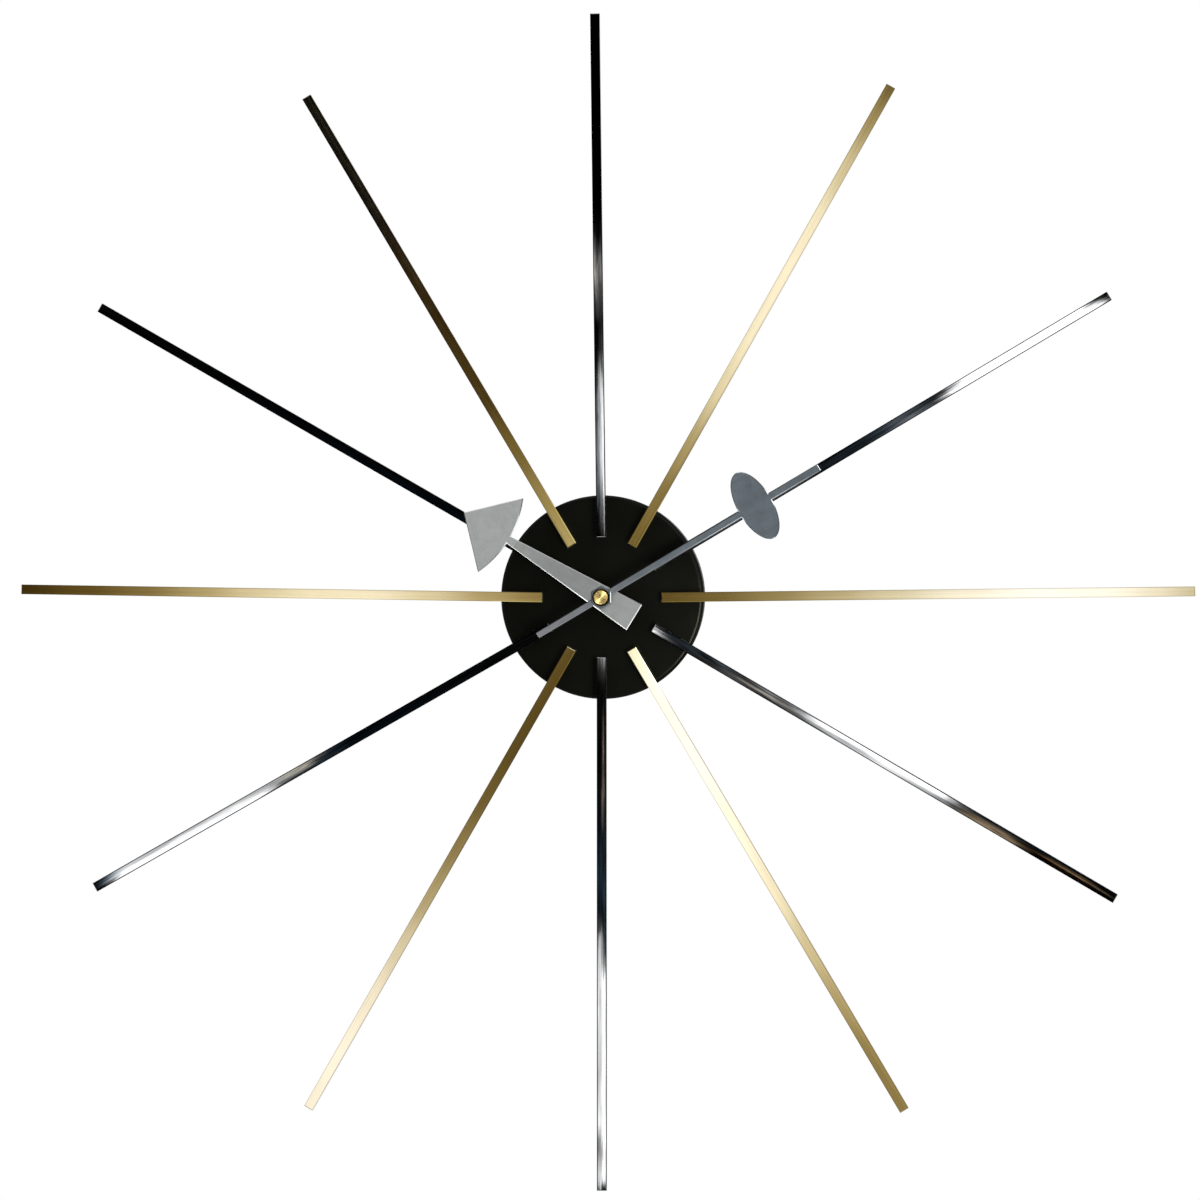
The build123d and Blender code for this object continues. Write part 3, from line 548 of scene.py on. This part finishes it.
def make_hour_hand():
    """Satin aluminium: the fan head is brushed roughly upright, the blade along its length.
    The two grains meet on the head's inner arc."""
    mat = Material("hour_hand_satin")
    along, across, depth = mat.axes(HOUR)
    x, _, z = mat.split(mat.place)
    tilt = 0.35  # sideways lean of the head's grain
    radius = mat.length(mat.vec(along - HOUR_TIP, 0.0, across))
    head = ((1.0 - mat.fade(radius, HEAD_RADIUS - 0.12, HEAD_RADIUS + 0.12))
            * mat.fade(along, 20.0, 21.0))
    seam = 1.0 - mat.fade(abs(radius - HEAD_RADIUS), 0.05, 0.45)
    seam = seam * mat.fade(along, 20.0, 21.0)
    blade_grain = mat.grain((along, across, depth), size=(9.0, 0.20, 0.2), detail=4.0, rough=0.65)
    head_grain = mat.grain((x + z * tilt, depth, z - x * tilt), size=(0.26, 0.2, 7.0),
                           detail=4.0, rough=0.65)
    grain = mat.mix_value(head, blade_grain, head_grain)
    spots = mat.noise(mat.place, scale=0.22, detail=4.0, rough=0.6, distort=0.5)
    front = mat.front_mask()
    tone = 1.0 + ((grain - 0.5) * 0.26 + (spots - 0.5) * 0.34)
    tone = tone * mat.mix_value(head, 0.94, 1.06)
    tone = tone * mat.mix_value(seam, 1.0, 0.86)
    # painted shade: a darker stretch of the blade beside the hub
    hub_side_shade = mat.fade(along, 2.0, 9.0) * mat.fade(along, 22.0, 52.0, 1.0, 0.0)
    tone = tone * mat.mix_value(hub_side_shade, 1.0, 0.84)
    # painted highlight: the bevels' base colour is lighter than the face's
    tone = mat.mix_value(front, 1.1, tone)
    blade_across = mat.vec(HOUR[1], 0.0, -HOUR[0])
    head_across = mat.vec(0.944, 0.0, 0.330)
    tangent = mat.add(mat.scale(blade_across, 1.0 - head), mat.scale(head_across, head))
    return mat.finish(
        base=mat.scale(HOUR_METAL, tone),
        metal=1.0,
        rough=mat.mix_value(front, 0.20, 0.40 + (grain - 0.5) * 0.20),
        aniso=front * 0.45,
        tangent=mat.world(mat.unit(tangent)),
        normal=mat.bump(grain - seam * 2.0, distance=0.000005, strength=0.4))


# ------------------------------------------------------------------ which finish each node gets
def chrome_ray(node):
    k = int(node[4:]) % 12
    return polished(f"chrome_bar_{k:02d}", ARMS[k]["along"], seed=k * 3.7)


def brass_ray(node):
    k = int(node[4:]) % 12
    # painted highlight: edge above 1 and bar=True lighten the bevels' base colour
    return brushed(f"brass_bar_{k:02d}", ARMS[k]["along"], BRASS, rough=0.22, aniso=0.60,
                   streak=0.40, length=26.0, band=1.3, edge=1.06, mottle=0.04, depth=0.002,
                   shift=k * 11.3, bar=True, contrast=0.80)


def hour_part(node):
    if node == "hour_hand":
        return make_hour_hand()
    return plated(node + "_satin", (0.60, 0.61, 0.60), rough=0.3)


def minute_part(node):
    if node == "minute_hand":
        return brushed("minute_hand_brushed", MINUTE, MINUTE_METAL, rough=0.34, aniso=0.55,
                       streak=0.20, length=9.0, band=0.8, edge=0.92, mottle=0.30)
    return brushed(node + "_brushed", MINUTE, shade(MINUTE_METAL, 0.70), rough=0.30, aniso=0.4,
                   streak=0.25, length=3.0, band=0.8, edge=0.80, mottle=0.08, edge_rough=0.24)


FINISHES = {
    "black_lacquer": lambda node: lacquer("drum_black_satin"),
    "chrome": chrome_ray,
    "ray_brass": brass_ray,
    "hour_aluminium": hour_part,
    "minute_aluminium": minute_part,
    "turned_brass": lambda node: turned(node + "_turned", (0.86, 0.66, 0.28)),
    "plain_brass": lambda node: wheel_brass(node + "_brass"),
    "zinc_plate": lambda node: plated(node + "_zinc", (0.60, 0.62, 0.64), rough=0.34),
    "screw_steel": lambda node: plated(
        node + "_steel", (0.56, 0.56, 0.56), rough=0.24, coarse=0.6),
    "spring_steel": lambda node: plated(
        node + "_nickel", (0.66, 0.65, 0.61), rough=0.22, tint=(0.64, 0.60, 0.50)),
    "stator_iron": lambda node: plated(
        node + "_iron", (0.42, 0.42, 0.43), rough=0.38, tint=(0.36, 0.35, 0.34)),
    "crystal_can": lambda node: plated(
        node + "_can", (0.74, 0.74, 0.73), rough=0.14, tint=(0.7, 0.69, 0.64)),
    "magnet": lambda node: ferrite(node + "_ferrite"),
    "copper_winding": lambda node: winding(node + "_enamel"),
    "gasket_rubber": lambda node: rubber(node + "_rubber"),
    "board_green": lambda node: board(node + "_mask"),
    "cell_jacket": lambda node: cell(node + "_sleeve", node),
    "black_plastic": lambda node: moulded(node + "_black", (0.016, 0.016, 0.017), rough=0.42),
    "chip_black": lambda node: moulded(
        node + "_epoxy", (0.012, 0.012, 0.012), rough=0.30, fineness=6.0, depth=0.008),
    "set_knob_plastic": lambda node: moulded(
        node + "_grey", (0.50, 0.50, 0.48), rough=0.40, fineness=3.0),
    "ivory_plastic": lambda node: moulded(
        node + "_ivory", (0.74, 0.70, 0.58), rough=0.36, fineness=3.0, depth=0.010, sub=0.05),
}


def paint():
    for name, piece in NODES.items():
        material = FINISHES[SLOT[name]](name)
        if not piece.material_slots:
            piece.data.materials.append(material)
        for slot in piece.material_slots:
            slot.material = material


# ------------------------------------------------------------------ lamps
class Lamp(Graph):
    """A rectangular area light. With only set, it falls on those nodes alone."""

    def __init__(self, name, matrix, size_x, size_y, radiance, colour=(1, 1, 1), only=()):
        data = bpy.data.lights.new(name, "AREA")
        data.shape, data.size, data.size_y = "RECTANGLE", size_x, size_y
        data.energy = math.pi * size_x * size_y * radiance
        data.color = colour
        super().__init__(data, clear=False)
        light = bpy.data.objects.new(name, data)
        bpy.context.scene.collection.objects.link(light)
        light.matrix_world = matrix
        if only:
            group = bpy.data.collections.new(name + "_lit")
            for node in only:
                group.objects.link(NODES[node])
            light.light_linking.receiver_collection = group

    def glow(self, colour):
        self.put(self.tree.nodes["Emission"].inputs["Color"], colour)

    def surface(self):
        """Positions 0..1 over the lamp: along its x size, then along its y size."""
        return self.split(self.node("ShaderNodeNewGeometry", output="Parametric"))[:2]


def face_matrix(centre, direction):
    """Matrix of a lamp shining towards +Y, its x side along an in-plane direction."""
    right = Vector((direction[0], 0.0, direction[1]))
    back = Vector((0.0, -1.0, 0.0))
    return placed(right, back.cross(right), back, centre)


def aimed(place, target):
    place = Vector(place)
    matrix = (Vector(target) - place).to_track_quat("-Z", "Y").to_matrix().to_4x4()
    matrix.translation = place
    return matrix


def mirrored(point, y, reach):
    """Where a face point (x, z) at depth y reflects the camera's view, on a plane reach in front.
    Also gives the magnification."""
    ratio = reach / (y - CAMERA_AT.y)
    return (point[0] + ratio * (point[0] - CAMERA_AT.x),
            point[1] + ratio * (point[1] - CAMERA_AT.z)), 1 + ratio


class Strip(Lamp):
    """Lamp over the reflected line of one ray, between two radii."""

    def __init__(self, k, start, end, width, reach):
        arm = ARMS[k]

        def image(radius):
            point = [a * radius + c * arm["offset"] for a, c in zip(arm["along"], arm["across"])]
            return mirrored(point, arm["front"], reach)

        (start_x, start_z), spread = image(start)
        (end_x, end_z), _ = image(end)
        centre = ((start_x + end_x) / 2, arm["front"] - reach, (start_z + end_z) / 2)
        super().__init__(f"strip_{k:02d}", face_matrix(centre, arm["along"]),
                         math.hypot(end_x - start_x, end_z - start_z), width, radiance=1.0,
                         only=[f"ray_{k or 12:02d}"])
        self.start, self.span = start * 1000, (end - start) * 1000  # mm
        self.width = width * 1000 / spread  # mm on the ray
        self.along, self.over = self.surface()

    def position(self, radius):
        return (radius - self.start) / self.span

    def profile(self, along, stops):
        """Ramp along the strip through (radius in mm, brightness) stops."""
        return self.ramp(along, [(self.position(radius), level) for radius, level in stops])

    def across(self, side=1.0):
        """Distance across the ray in mm."""
        return (0.5 - self.over) * (side * self.width)


def brass_strip(k, tint, end, stops):
    """Wide strip near a brass ray; end lights the rounding of the ray's inner end."""
    margin, tail = 0.02, 0.05
    arm = ARMS[k]
    lamp = Strip(k, arm["inner"] - margin - tail, arm["outer"] + margin, width=0.22, reach=NEAR)
    stops = [(radius, warm(level, *tint)) for radius, level in stops]
    end = warm(end)
    stops = [(-39, end), (6, end), (13, stops[0][1])] + stops
    # Only the side bevels see the strip's edges, which are dim except on one side over the dial:
    # the side towards the right or the floor.
    x, z = arm["across"]
    side = 1.0 if x > 0.1 or (abs(x) <= 0.1 and z < 0) else -1.0
    across = lamp.across(side)
    colour = lamp.profile(lamp.along, stops)
    lit = lamp.fade(lamp.along, lamp.position(50), lamp.position(66), 1.7, 0.5)
    bright_side = lamp.mix_value(lamp.fade(across, 14.0, 28.0), 1.0, lit)
    dim_side = lamp.fade(across, -28.0, -14.0, 0.45, 1.0)
    lamp.glow(lamp.scale(colour, bright_side * dim_side))


def chrome_strip(k, left, right, swing, inner=0.0, bow=1.0, lines=()):
    """Sharp strip for a chrome ray, with left and right profiles as seen looking outward.
    They blend over swing (mm across) with power bow; inner lights the inner end's rounding;
    lines are narrow extra lights: (place across in mm, half width in mm, stops)."""
    arm = ARMS[k]
    tail = 0.10 if inner else 0.0
    lamp = Strip(k, arm["inner"] - tail, arm["outer"], width=0.035, reach=REACH)
    if inner:
        end = [(-69, inner), (5, inner), (18, 0.0)]
        left, right = end + left, end + right
    # the place along wanders a little from line to line, as drawn metal reflects
    across = lamp.across()
    wander = lamp.noise(lamp.vec(lamp.along * (lamp.span / 45.0), across / 0.60, k * 2.3 + 5.0))
    along = lamp.along + (wander - 0.5) * (22.0 / lamp.span)
    blend = lamp.math("POWER", lamp.fade(across, *swing), bow)
    colour = lamp.mix_colour(blend, lamp.profile(along, left), lamp.profile(along, right))
    for centre, half, stops in lines:
        near = lamp.fade(abs(across - centre), 0.0, half, 1.0, 0.0)
        colour = lamp.add(colour, lamp.scale(lamp.profile(along, stops), near))
    streak = lamp.noise(lamp.vec(lamp.along * (lamp.span / 26.0), across / 0.9, k * 1.7),
                        detail=3.0, distort=0.4)
    bright = lamp.fade(lamp.dot(colour, (0.33, 0.34, 0.33)), 0.02, 0.7)
    lamp.glow(lamp.scale(colour, lamp.mix_value(
        bright, lamp.fade(streak, 0.30, 0.70, 0.35, 1.90),
        lamp.fade(streak, 0.30, 0.70, 0.74, 1.26))))


def warm(level, green=1.0, blue=1.0):
    """Light that shows on brass as deep gold when dim and pale cream when bright."""
    level = level * 1.075
    rise = level / 0.98
    return (level / BRASS[0],
            0.87 * green / BRASS[1] * rise ** 1.163,
            0.62 * blue / BRASS[2] * rise ** 1.764)


def cool(level, blue=0.0):
    """Neutral light with a little blue (blue > 0) or brown (blue < 0) in it."""
    return (max(0.0, level * (1 - blue)), level, max(0.0, level * (1 + blue)))


# Brass rays: (green, blue) tint, inner end level, (radius in mm, brightness) stops.
BRASS_STRIPS = {
    1: ((.98, .90), .45, [
        (31, .14), (60, .22), (90, .40), (125, .77), (155, .95), (190, 1.00), (225, .95),
        (255, .68), (285, .36), (305, .16)]),
    3: ((1.0, 1.0), .60, [
        (31, .10), (60, .17), (90, .31), (120, .50), (150, .72), (185, 1.00), (225, 1.20),
        (260, 1.14), (285, .92), (305, .64)]),
    5: ((.97, .87), .55, [
        (31, .95), (55, 1.25), (100, 1.30), (140, 1.16), (175, .98), (210, .66), (240, .46),
        (270, .30), (305, .28)]),
    7: ((.99, 1.0), .85, [
        (31, .10), (90, .10), (120, .15), (150, .27), (180, .45), (210, .73), (240, .93),
        (275, 1.05), (305, 1.00)]),
    9: ((.97, .88), .35, [
        (31, .22), (60, .43), (90, .75), (120, .98), (150, .94), (180, .73), (210, .44),
        (240, .22), (270, .115), (305, .048)]),
    11: ((.98, .82), 1.15, [
        (31, .39), (45, .33), (60, .30), (90, .155), (120, .054), (180, .024), (235, 0.0),
        (305, 0.0)]),
}

# Chrome rays: arguments of chrome_strip; stops are (radius in mm, grey level or colour).
CHROME_STRIPS = {
    0: dict(
        left=[
            (31, .001), (42, .002), (50, cool(.05, .12)), (60, cool(.10, .12)),
            (98, cool(.07, .14)), (110, .02), (124, .003), (142, .001), (151, .03),
            (160, cool(.12, -.06)), (168, cool(.30, -.05)), (175, cool(.26, -.05)), (182, .05),
            (189, .004), (200, 0.0), (305, 0.0)],
        right=[
            (31, .01), (38, .06), (46, .16), (56, .50), (66, .95), (80, 1.25), (106, 1.2),
            (114, .75), (122, .22), (130, .05), (142, .01), (158, .03), (170, .09), (180, .03),
            (188, .004), (200, 0.0), (305, 0.0)],
        swing=(-1.9, 2.0), bow=1.5, inner=.85,
        lines=[(2.0, 0.9, [(33, 0.0), (38, .45), (45, .95), (60, .85), (76, 0.0)])]),
    2: dict(
        left=[
            (31, .03), (126, .03), (131, cool(.004, .4)), (145, cool(.008, .3)),
            (165, cool(.022, .3)), (180, cool(.06, .2)), (190, cool(.05, .2)),
            (198, cool(.02, .3)), (206, .03), (213, .5), (220, 1.8), (287, 1.8), (292, .5),
            (296, .04), (300, .003), (305, .002)],
        right=[
            (31, .04), (126, .05), (131, cool(.008, .2)), (155, cool(.014, .3)),
            (168, cool(.05, .2)), (183, cool(.15, .1)), (192, cool(.11, .15)), (200, .05),
            (205, .3), (211, 1.2), (218, 1.8), (296, 1.8), (299, 1.0), (302, .22), (304, .03),
            (305, .01)],
        swing=(-1.9, 1.5), inner=.5),
    4: dict(
        left=[
            (31, .35), (34, .08), (40, cool(.02, .3)), (50, cool(.03, .25)),
            (62, cool(.012, .4)), (70, cool(.05, .2)), (80, .018), (90, .05), (98, .16),
            (108, .12), (117, .35), (125, .9), (134, 1.7), (203, 1.7), (209, .6), (216, .08),
            (223, .02), (236, cool(.010, .3)), (256, cool(.006, .3)), (305, .002)],
        right=[
            (31, 1.2), (34, .5), (38, .10), (46, cool(.02, .2)), (60, .02), (78, .06),
            (90, .04), (105, .02), (118, .05), (127, .14), (139, .36), (153, .50), (168, .85),
            (178, .85), (190, .5), (202, .25), (210, .05), (217, (.12, .09, .05)),
            (228, (.22, .16, .10)), (242, (.24, .17, .10)), (250, (.08, .055, .03)),
            (256, (.004, .002, .001)), (305, .001)],
        swing=(-1.8, 1.8), inner=1.0,
        lines=[
            (0.2, 0.9, [
                (76, 0.0), (86, (.12, .10, .08)), (97, (.30, .27, .23)),
                (108, (.20, .17, .14)), (118, 0.0)]),
            (0.1, 0.7, [
                (250, 0.0), (258, (.06, .035, .016)), (270, (.15, .085, .035)),
                (286, (.20, .12, .055)), (298, (.16, .11, .06)), (304, .02)]),
            (-0.9, 0.4, [
                (262, 0.0), (272, (.05, .03, .012)), (290, (.06, .04, .02)), (300, 0.0)])]),
    6: dict(
        left=[
            (31, .55), (35, .20), (41, .03), (50, .006), (65, .006), (80, .008), (110, .010),
            (128, cool(.012, .3)), (140, cool(.02, .3)), (152, cool(.025, .35)),
            (165, cool(.012, .4)), (176, cool(.03, .3)), (184, .06), (191, .4), (199, 1.8),
            (279, 1.8), (283, 1.2), (288, 1.3), (292, 1.8), (299, 1.7), (302, .7), (304, .06),
            (305, .02)],
        right=[
            (31, .10), (38, .02), (44, .002), (90, .001), (118, cool(.004, .5)),
            (132, cool(.012, .5)), (150, cool(.016, .5)), (160, cool(.010, .4)), (170, .04),
            (177, .45), (183, .62), (195, .75), (215, .80), (240, .66), (262, .78), (272, .90),
            (277, .55), (281, .22), (286, .20), (291, .42), (296, .72), (300, .72), (302, .35),
            (304, .03), (305, .01)],
        swing=(-1.9, 1.3), inner=.7,
        lines=[(-0.7, 0.75, [
            (56, 0.0), (68, (.07, .045, .035)), (84, (.14, .10, .08)), (98, (.16, .12, .10)),
            (112, (.08, .06, .05)), (124, 0.0)])]),
    8: dict(
        left=[
            (31, .003), (150, cool(.003, .5)), (162, cool(.012, .4)), (172, cool(.02, .4)),
            (183, cool(.03, .2)), (194, .06), (199, .3), (204, .9), (211, 1.6), (286, 1.6),
            (290, 1.1), (294, .22), (298, .03), (302, .005), (305, .003)],
        right=[
            (31, .002), (150, cool(.002, .5)), (162, cool(.010, .4)), (171, .05),
            (178, (.42, .39, .32)), (188, (.44, .42, .36)), (195, .35), (202, .55), (215, .72),
            (235, .66), (260, .62), (278, .62), (288, .66), (292, cool(.45, .1)),
            (296, cool(.22, .2)), (300, cool(.06, .35)), (303, .008), (305, .003)],
        swing=(-1.9, 1.3)),
    10: dict(
        left=[(31, .004), (90, cool(.003, .5)), (305, .001)],
        right=[(31, .002), (200, .001), (290, .002), (305, .003)],
        swing=(-2.0, 2.0)),
}

# Hand panels: name, direction, lit nodes, side, (position 0..1 along the panel, colour) stops.
HAND_PANELS = (
    ("hour_panel", HOUR, ["hour_hand"], 0.50, [
        (0.0, (.50, .51, .50)), (0.36, (.50, .51, .50)), (0.58, (.34, .35, .345)),
        (0.80, (.45, .455, .45)), (1.0, (.46, .465, .46))]),
    ("minute_panel", MINUTE, ["minute_hand", "minute_hand_hub"], 0.60, [
        (0.0, (.50, .43, .41)), (0.38, (.52, .45, .43)), (0.50, (.225, .235, .235)),
        (0.60, (.20, .220, .228)), (1.0, (.195, .215, .232))]),
)


def clockwise(degrees):
    """In-plane direction (x, z) at an angle clockwise from the top."""
    return math.sin(math.radians(degrees)), math.cos(math.radians(degrees))


def over_axis(node, direction):
    """Matrix of a lamp that the camera sees mirrored where the axis meets the node's front."""
    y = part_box(node)[0].y
    (x, z), _ = mirrored((0.0, 0.0), y, REACH)
    return face_matrix((x, y - REACH, z), direction)


def minute_glints():
    """Three slim lamps level with the minute hand: beside its outer half, off its tip and tail."""
    hand_x, hand_z = MINUTE
    out = 0.091  # radius the lamps aim at
    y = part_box("minute_hand")[0].y + 0.003
    aim = Vector((hand_x * out, y, hand_z * out))
    beside = (hand_x * out + hand_z * 0.40, hand_z * out - hand_x * 0.40)
    for name, (x, z), size, radiance in (
            ("minute_glint", beside, 0.080, 1.3),
            ("tip_glint", (hand_x * 0.50, hand_z * 0.50), 0.10, 4.0),
            ("tail_glint", (-hand_x * 0.45, -hand_z * 0.45), 0.10, 4.0)):
        place = Vector((x, y, z))
        back = (place - aim).normalized()
        up = Vector((0.0, 1.0, 0.0))
        lamp = Lamp(name, placed(up.cross(back), up, back, place), size, 0.030, radiance,
                    only=["minute_hand"])
        lamp.glow((1.0, 0.95, 0.93))


def studio():
    for k, (tint, end, stops) in BRASS_STRIPS.items():
        brass_strip(k, tint, end, stops)
    for k, settings in CHROME_STRIPS.items():
        chrome_strip(k, **settings)
    for name, direction, nodes, side, stops in HAND_PANELS:
        lamp = Lamp(name, over_axis("hour_hand", direction), side, side, radiance=1.0, only=nodes)
        lamp.glow(lamp.ramp(lamp.surface()[0], stops))
    # slim light from upper right to lower left, which the nut gathers into two bright lobes
    lamp = Lamp("nut_strip", over_axis("cap_nut", clockwise(38)), 0.90, 0.028, radiance=6.2,
                only=["cap_nut"])
    lamp.glow((1.0, 0.95, 0.80))
    # low side lights that catch the hour hand's bevels
    for name, place, radiance in (("bevel_low", (-0.40, -0.04, -0.53), 2.2),
                                  ("bevel_right", (0.55, -0.06, -0.30), 1.4)):
        Lamp(name, aimed(place, (0, -0.03, 0)), 0.5, 0.30, radiance, only=["hour_hand"])
    minute_glints()
    # a spark on the right-hand facet of the hub
    Lamp("hub_glint", aimed((0.45, -0.036, -0.030), (0, -0.034, 0)), 0.16, 0.12, radiance=5.0,
         only=["minute_hand_hub"])
    # a small lamp low on the right lifts that side of the black drum
    face_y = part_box("dial_drum")[0].y
    x, z = clockwise(112)
    Lamp("drum_lamp", aimed((x * 0.155, face_y - 0.190, z * 0.155), (0, face_y, 0)),
         0.07, 0.12, radiance=9.0, colour=(1.0, 1.0, 0.82), only=["dial_drum"])
    # the soft key light of the room
    Lamp("key_panel", aimed((1.1, -1.5, 1.5), (0, 0, 0)), 1.1, 1.1, radiance=1.2)


# ------------------------------------------------------------------ room and floor
# Soft boxes, in degrees: azimuth (0 in front, + to the right, 180 behind), elevation,
# half width, half height, edge softness; then colour.
SOFT_BOXES = (
    (48, 8, 15, 34, 5, (0.95, 0.95, 0.93)),
    (-52, 8, 15, 32, 6, (0.26, 0.28, 0.30)),
    (112, 12, 14, 40, 8, (0.75, 0.75, 0.74)),
    (-112, 12, 14, 40, 8, (0.70, 0.72, 0.74)),
    (180, 10, 34, 30, 12, (0.62, 0.62, 0.62)),
    (150, 30, 12, 26, 6, (0.9, 0.9, 0.9)),
)


def room():
    """The camera sees plain white and diffuse rays a pale grey. All other rays see a studio:
    dark in front, soft boxes to the sides, above and behind."""
    world = bpy.data.worlds.new("studio")
    bpy.context.scene.world = world
    graph = Graph(world)
    direction = graph.unit(graph.node("ShaderNodeTexCoord", output="Generated"))
    x, y, z = graph.split(direction)
    turn = graph.math("ARCTAN2", x, y * -1.0)
    tilt = graph.math("ARCSINE", z)

    def inside(angle, half, soft):
        return graph.fade(angle, math.radians(half - soft), math.radians(half + soft), 1.0, 0.0)

    def soft_box(azimuth, elevation, half_width, half_height, soft, colour):
        sideways = abs(turn - math.radians(azimuth))
        sideways = graph.math("MINIMUM", sideways, 2 * math.pi - sideways)
        upward = abs(tilt - math.radians(elevation))
        return graph.scale(colour, inside(sideways, half_width, soft)
                           * inside(upward, half_height, soft))

    total = soft_box(*SOFT_BOXES[0])
    for box in SOFT_BOXES[1:]:
        total = graph.add(total, soft_box(*box))
    above, below = (0.95, 0.95, 0.95), (0.40, 0.40, 0.39)
    total = graph.add(total, graph.scale(above, graph.fade(z, 0.84, 0.95)))
    total = graph.add(total, graph.scale(below, graph.fade(z * -1.0, 0.66, 0.95)))
    # folds in the diffusers
    cloth = graph.noise(graph.add(direction, (3.1, 0.0, 1.7)), scale=5.5, distort=0.3)
    total = graph.scale(total, graph.fade(cloth, 0.38, 0.62, 0.30, 1.20))
    # faint fill everywhere but in front
    away = graph.fade(abs(turn), math.radians(24), math.radians(44))
    total = graph.add(total, graph.scale((0.045, 0.047, 0.050), away))

    def background(colour):
        return graph.node("ShaderNodeBackground", {"Color": colour, "Strength": 1.0})

    rays = graph.add_node("ShaderNodeLightPath").outputs
    shader = graph.node("ShaderNodeMixShader", {
        0: Wire(graph, rays["Is Diffuse Ray"]),
        1: background(total),
        2: background((0.80, 0.80, 0.80))})
    shader = graph.node("ShaderNodeMixShader", {
        0: Wire(graph, rays["Is Camera Ray"]),
        1: shader,
        2: background((1.0, 1.0, 1.0))})
    graph.add_node("ShaderNodeOutputWorld", {0: shader})


def floor_material():
    """Pale diffuse floor that fades into white light away from the clock."""
    material = bpy.data.materials.new("floor_pale")
    graph = Graph(material)
    place = graph.node("ShaderNodeTexCoord", output="Object")
    x, y, _ = graph.split(place)
    distance = graph.length(graph.vec(x, y, 0.0))
    speck = graph.noise(place, scale=9.0, detail=4.0, rough=0.6)
    colour = graph.mix_colour(speck, (0.86, 0.86, 0.855), (0.90, 0.90, 0.895))
    diffuse = graph.node("ShaderNodeBsdfDiffuse", {"Color": colour, "Roughness": 0.6})
    glow = graph.node("ShaderNodeEmission", {"Color": (1, 1, 1), "Strength": 1.0})
    fade = graph.math("MAXIMUM", graph.fade(distance, 0.45, 1.5), graph.fade(y, 0.05, 0.42))
    share = graph.math("MAXIMUM", fade, 0.35)
    shader = graph.node("ShaderNodeMixShader", {0: share, 1: diffuse, 2: glow})
    graph.add_node("ShaderNodeOutputMaterial", {0: shader})
    return material


def floor():
    z = CAD_BOX[0][2] - FLOOR_DROP
    half = FLOOR_HALF
    mesh = bpy.data.meshes.new("studio_floor")
    corners = [(-half, -half, z), (half, -half, z), (half, half, z), (-half, half, z)]
    mesh.from_pydata(corners, [], [(0, 1, 2, 3)])
    plane = bpy.data.objects.new("studio_floor", mesh)
    bpy.context.scene.collection.objects.link(plane)
    mesh.materials.append(floor_material())
    plane.visible_glossy = False  # mirror parts see the room's light from below instead


paint()
studio()
room()
floor()
make_camera()
scene = bpy.context.scene
scene.view_settings.view_transform = "Standard"
scene.view_settings.look = "None"
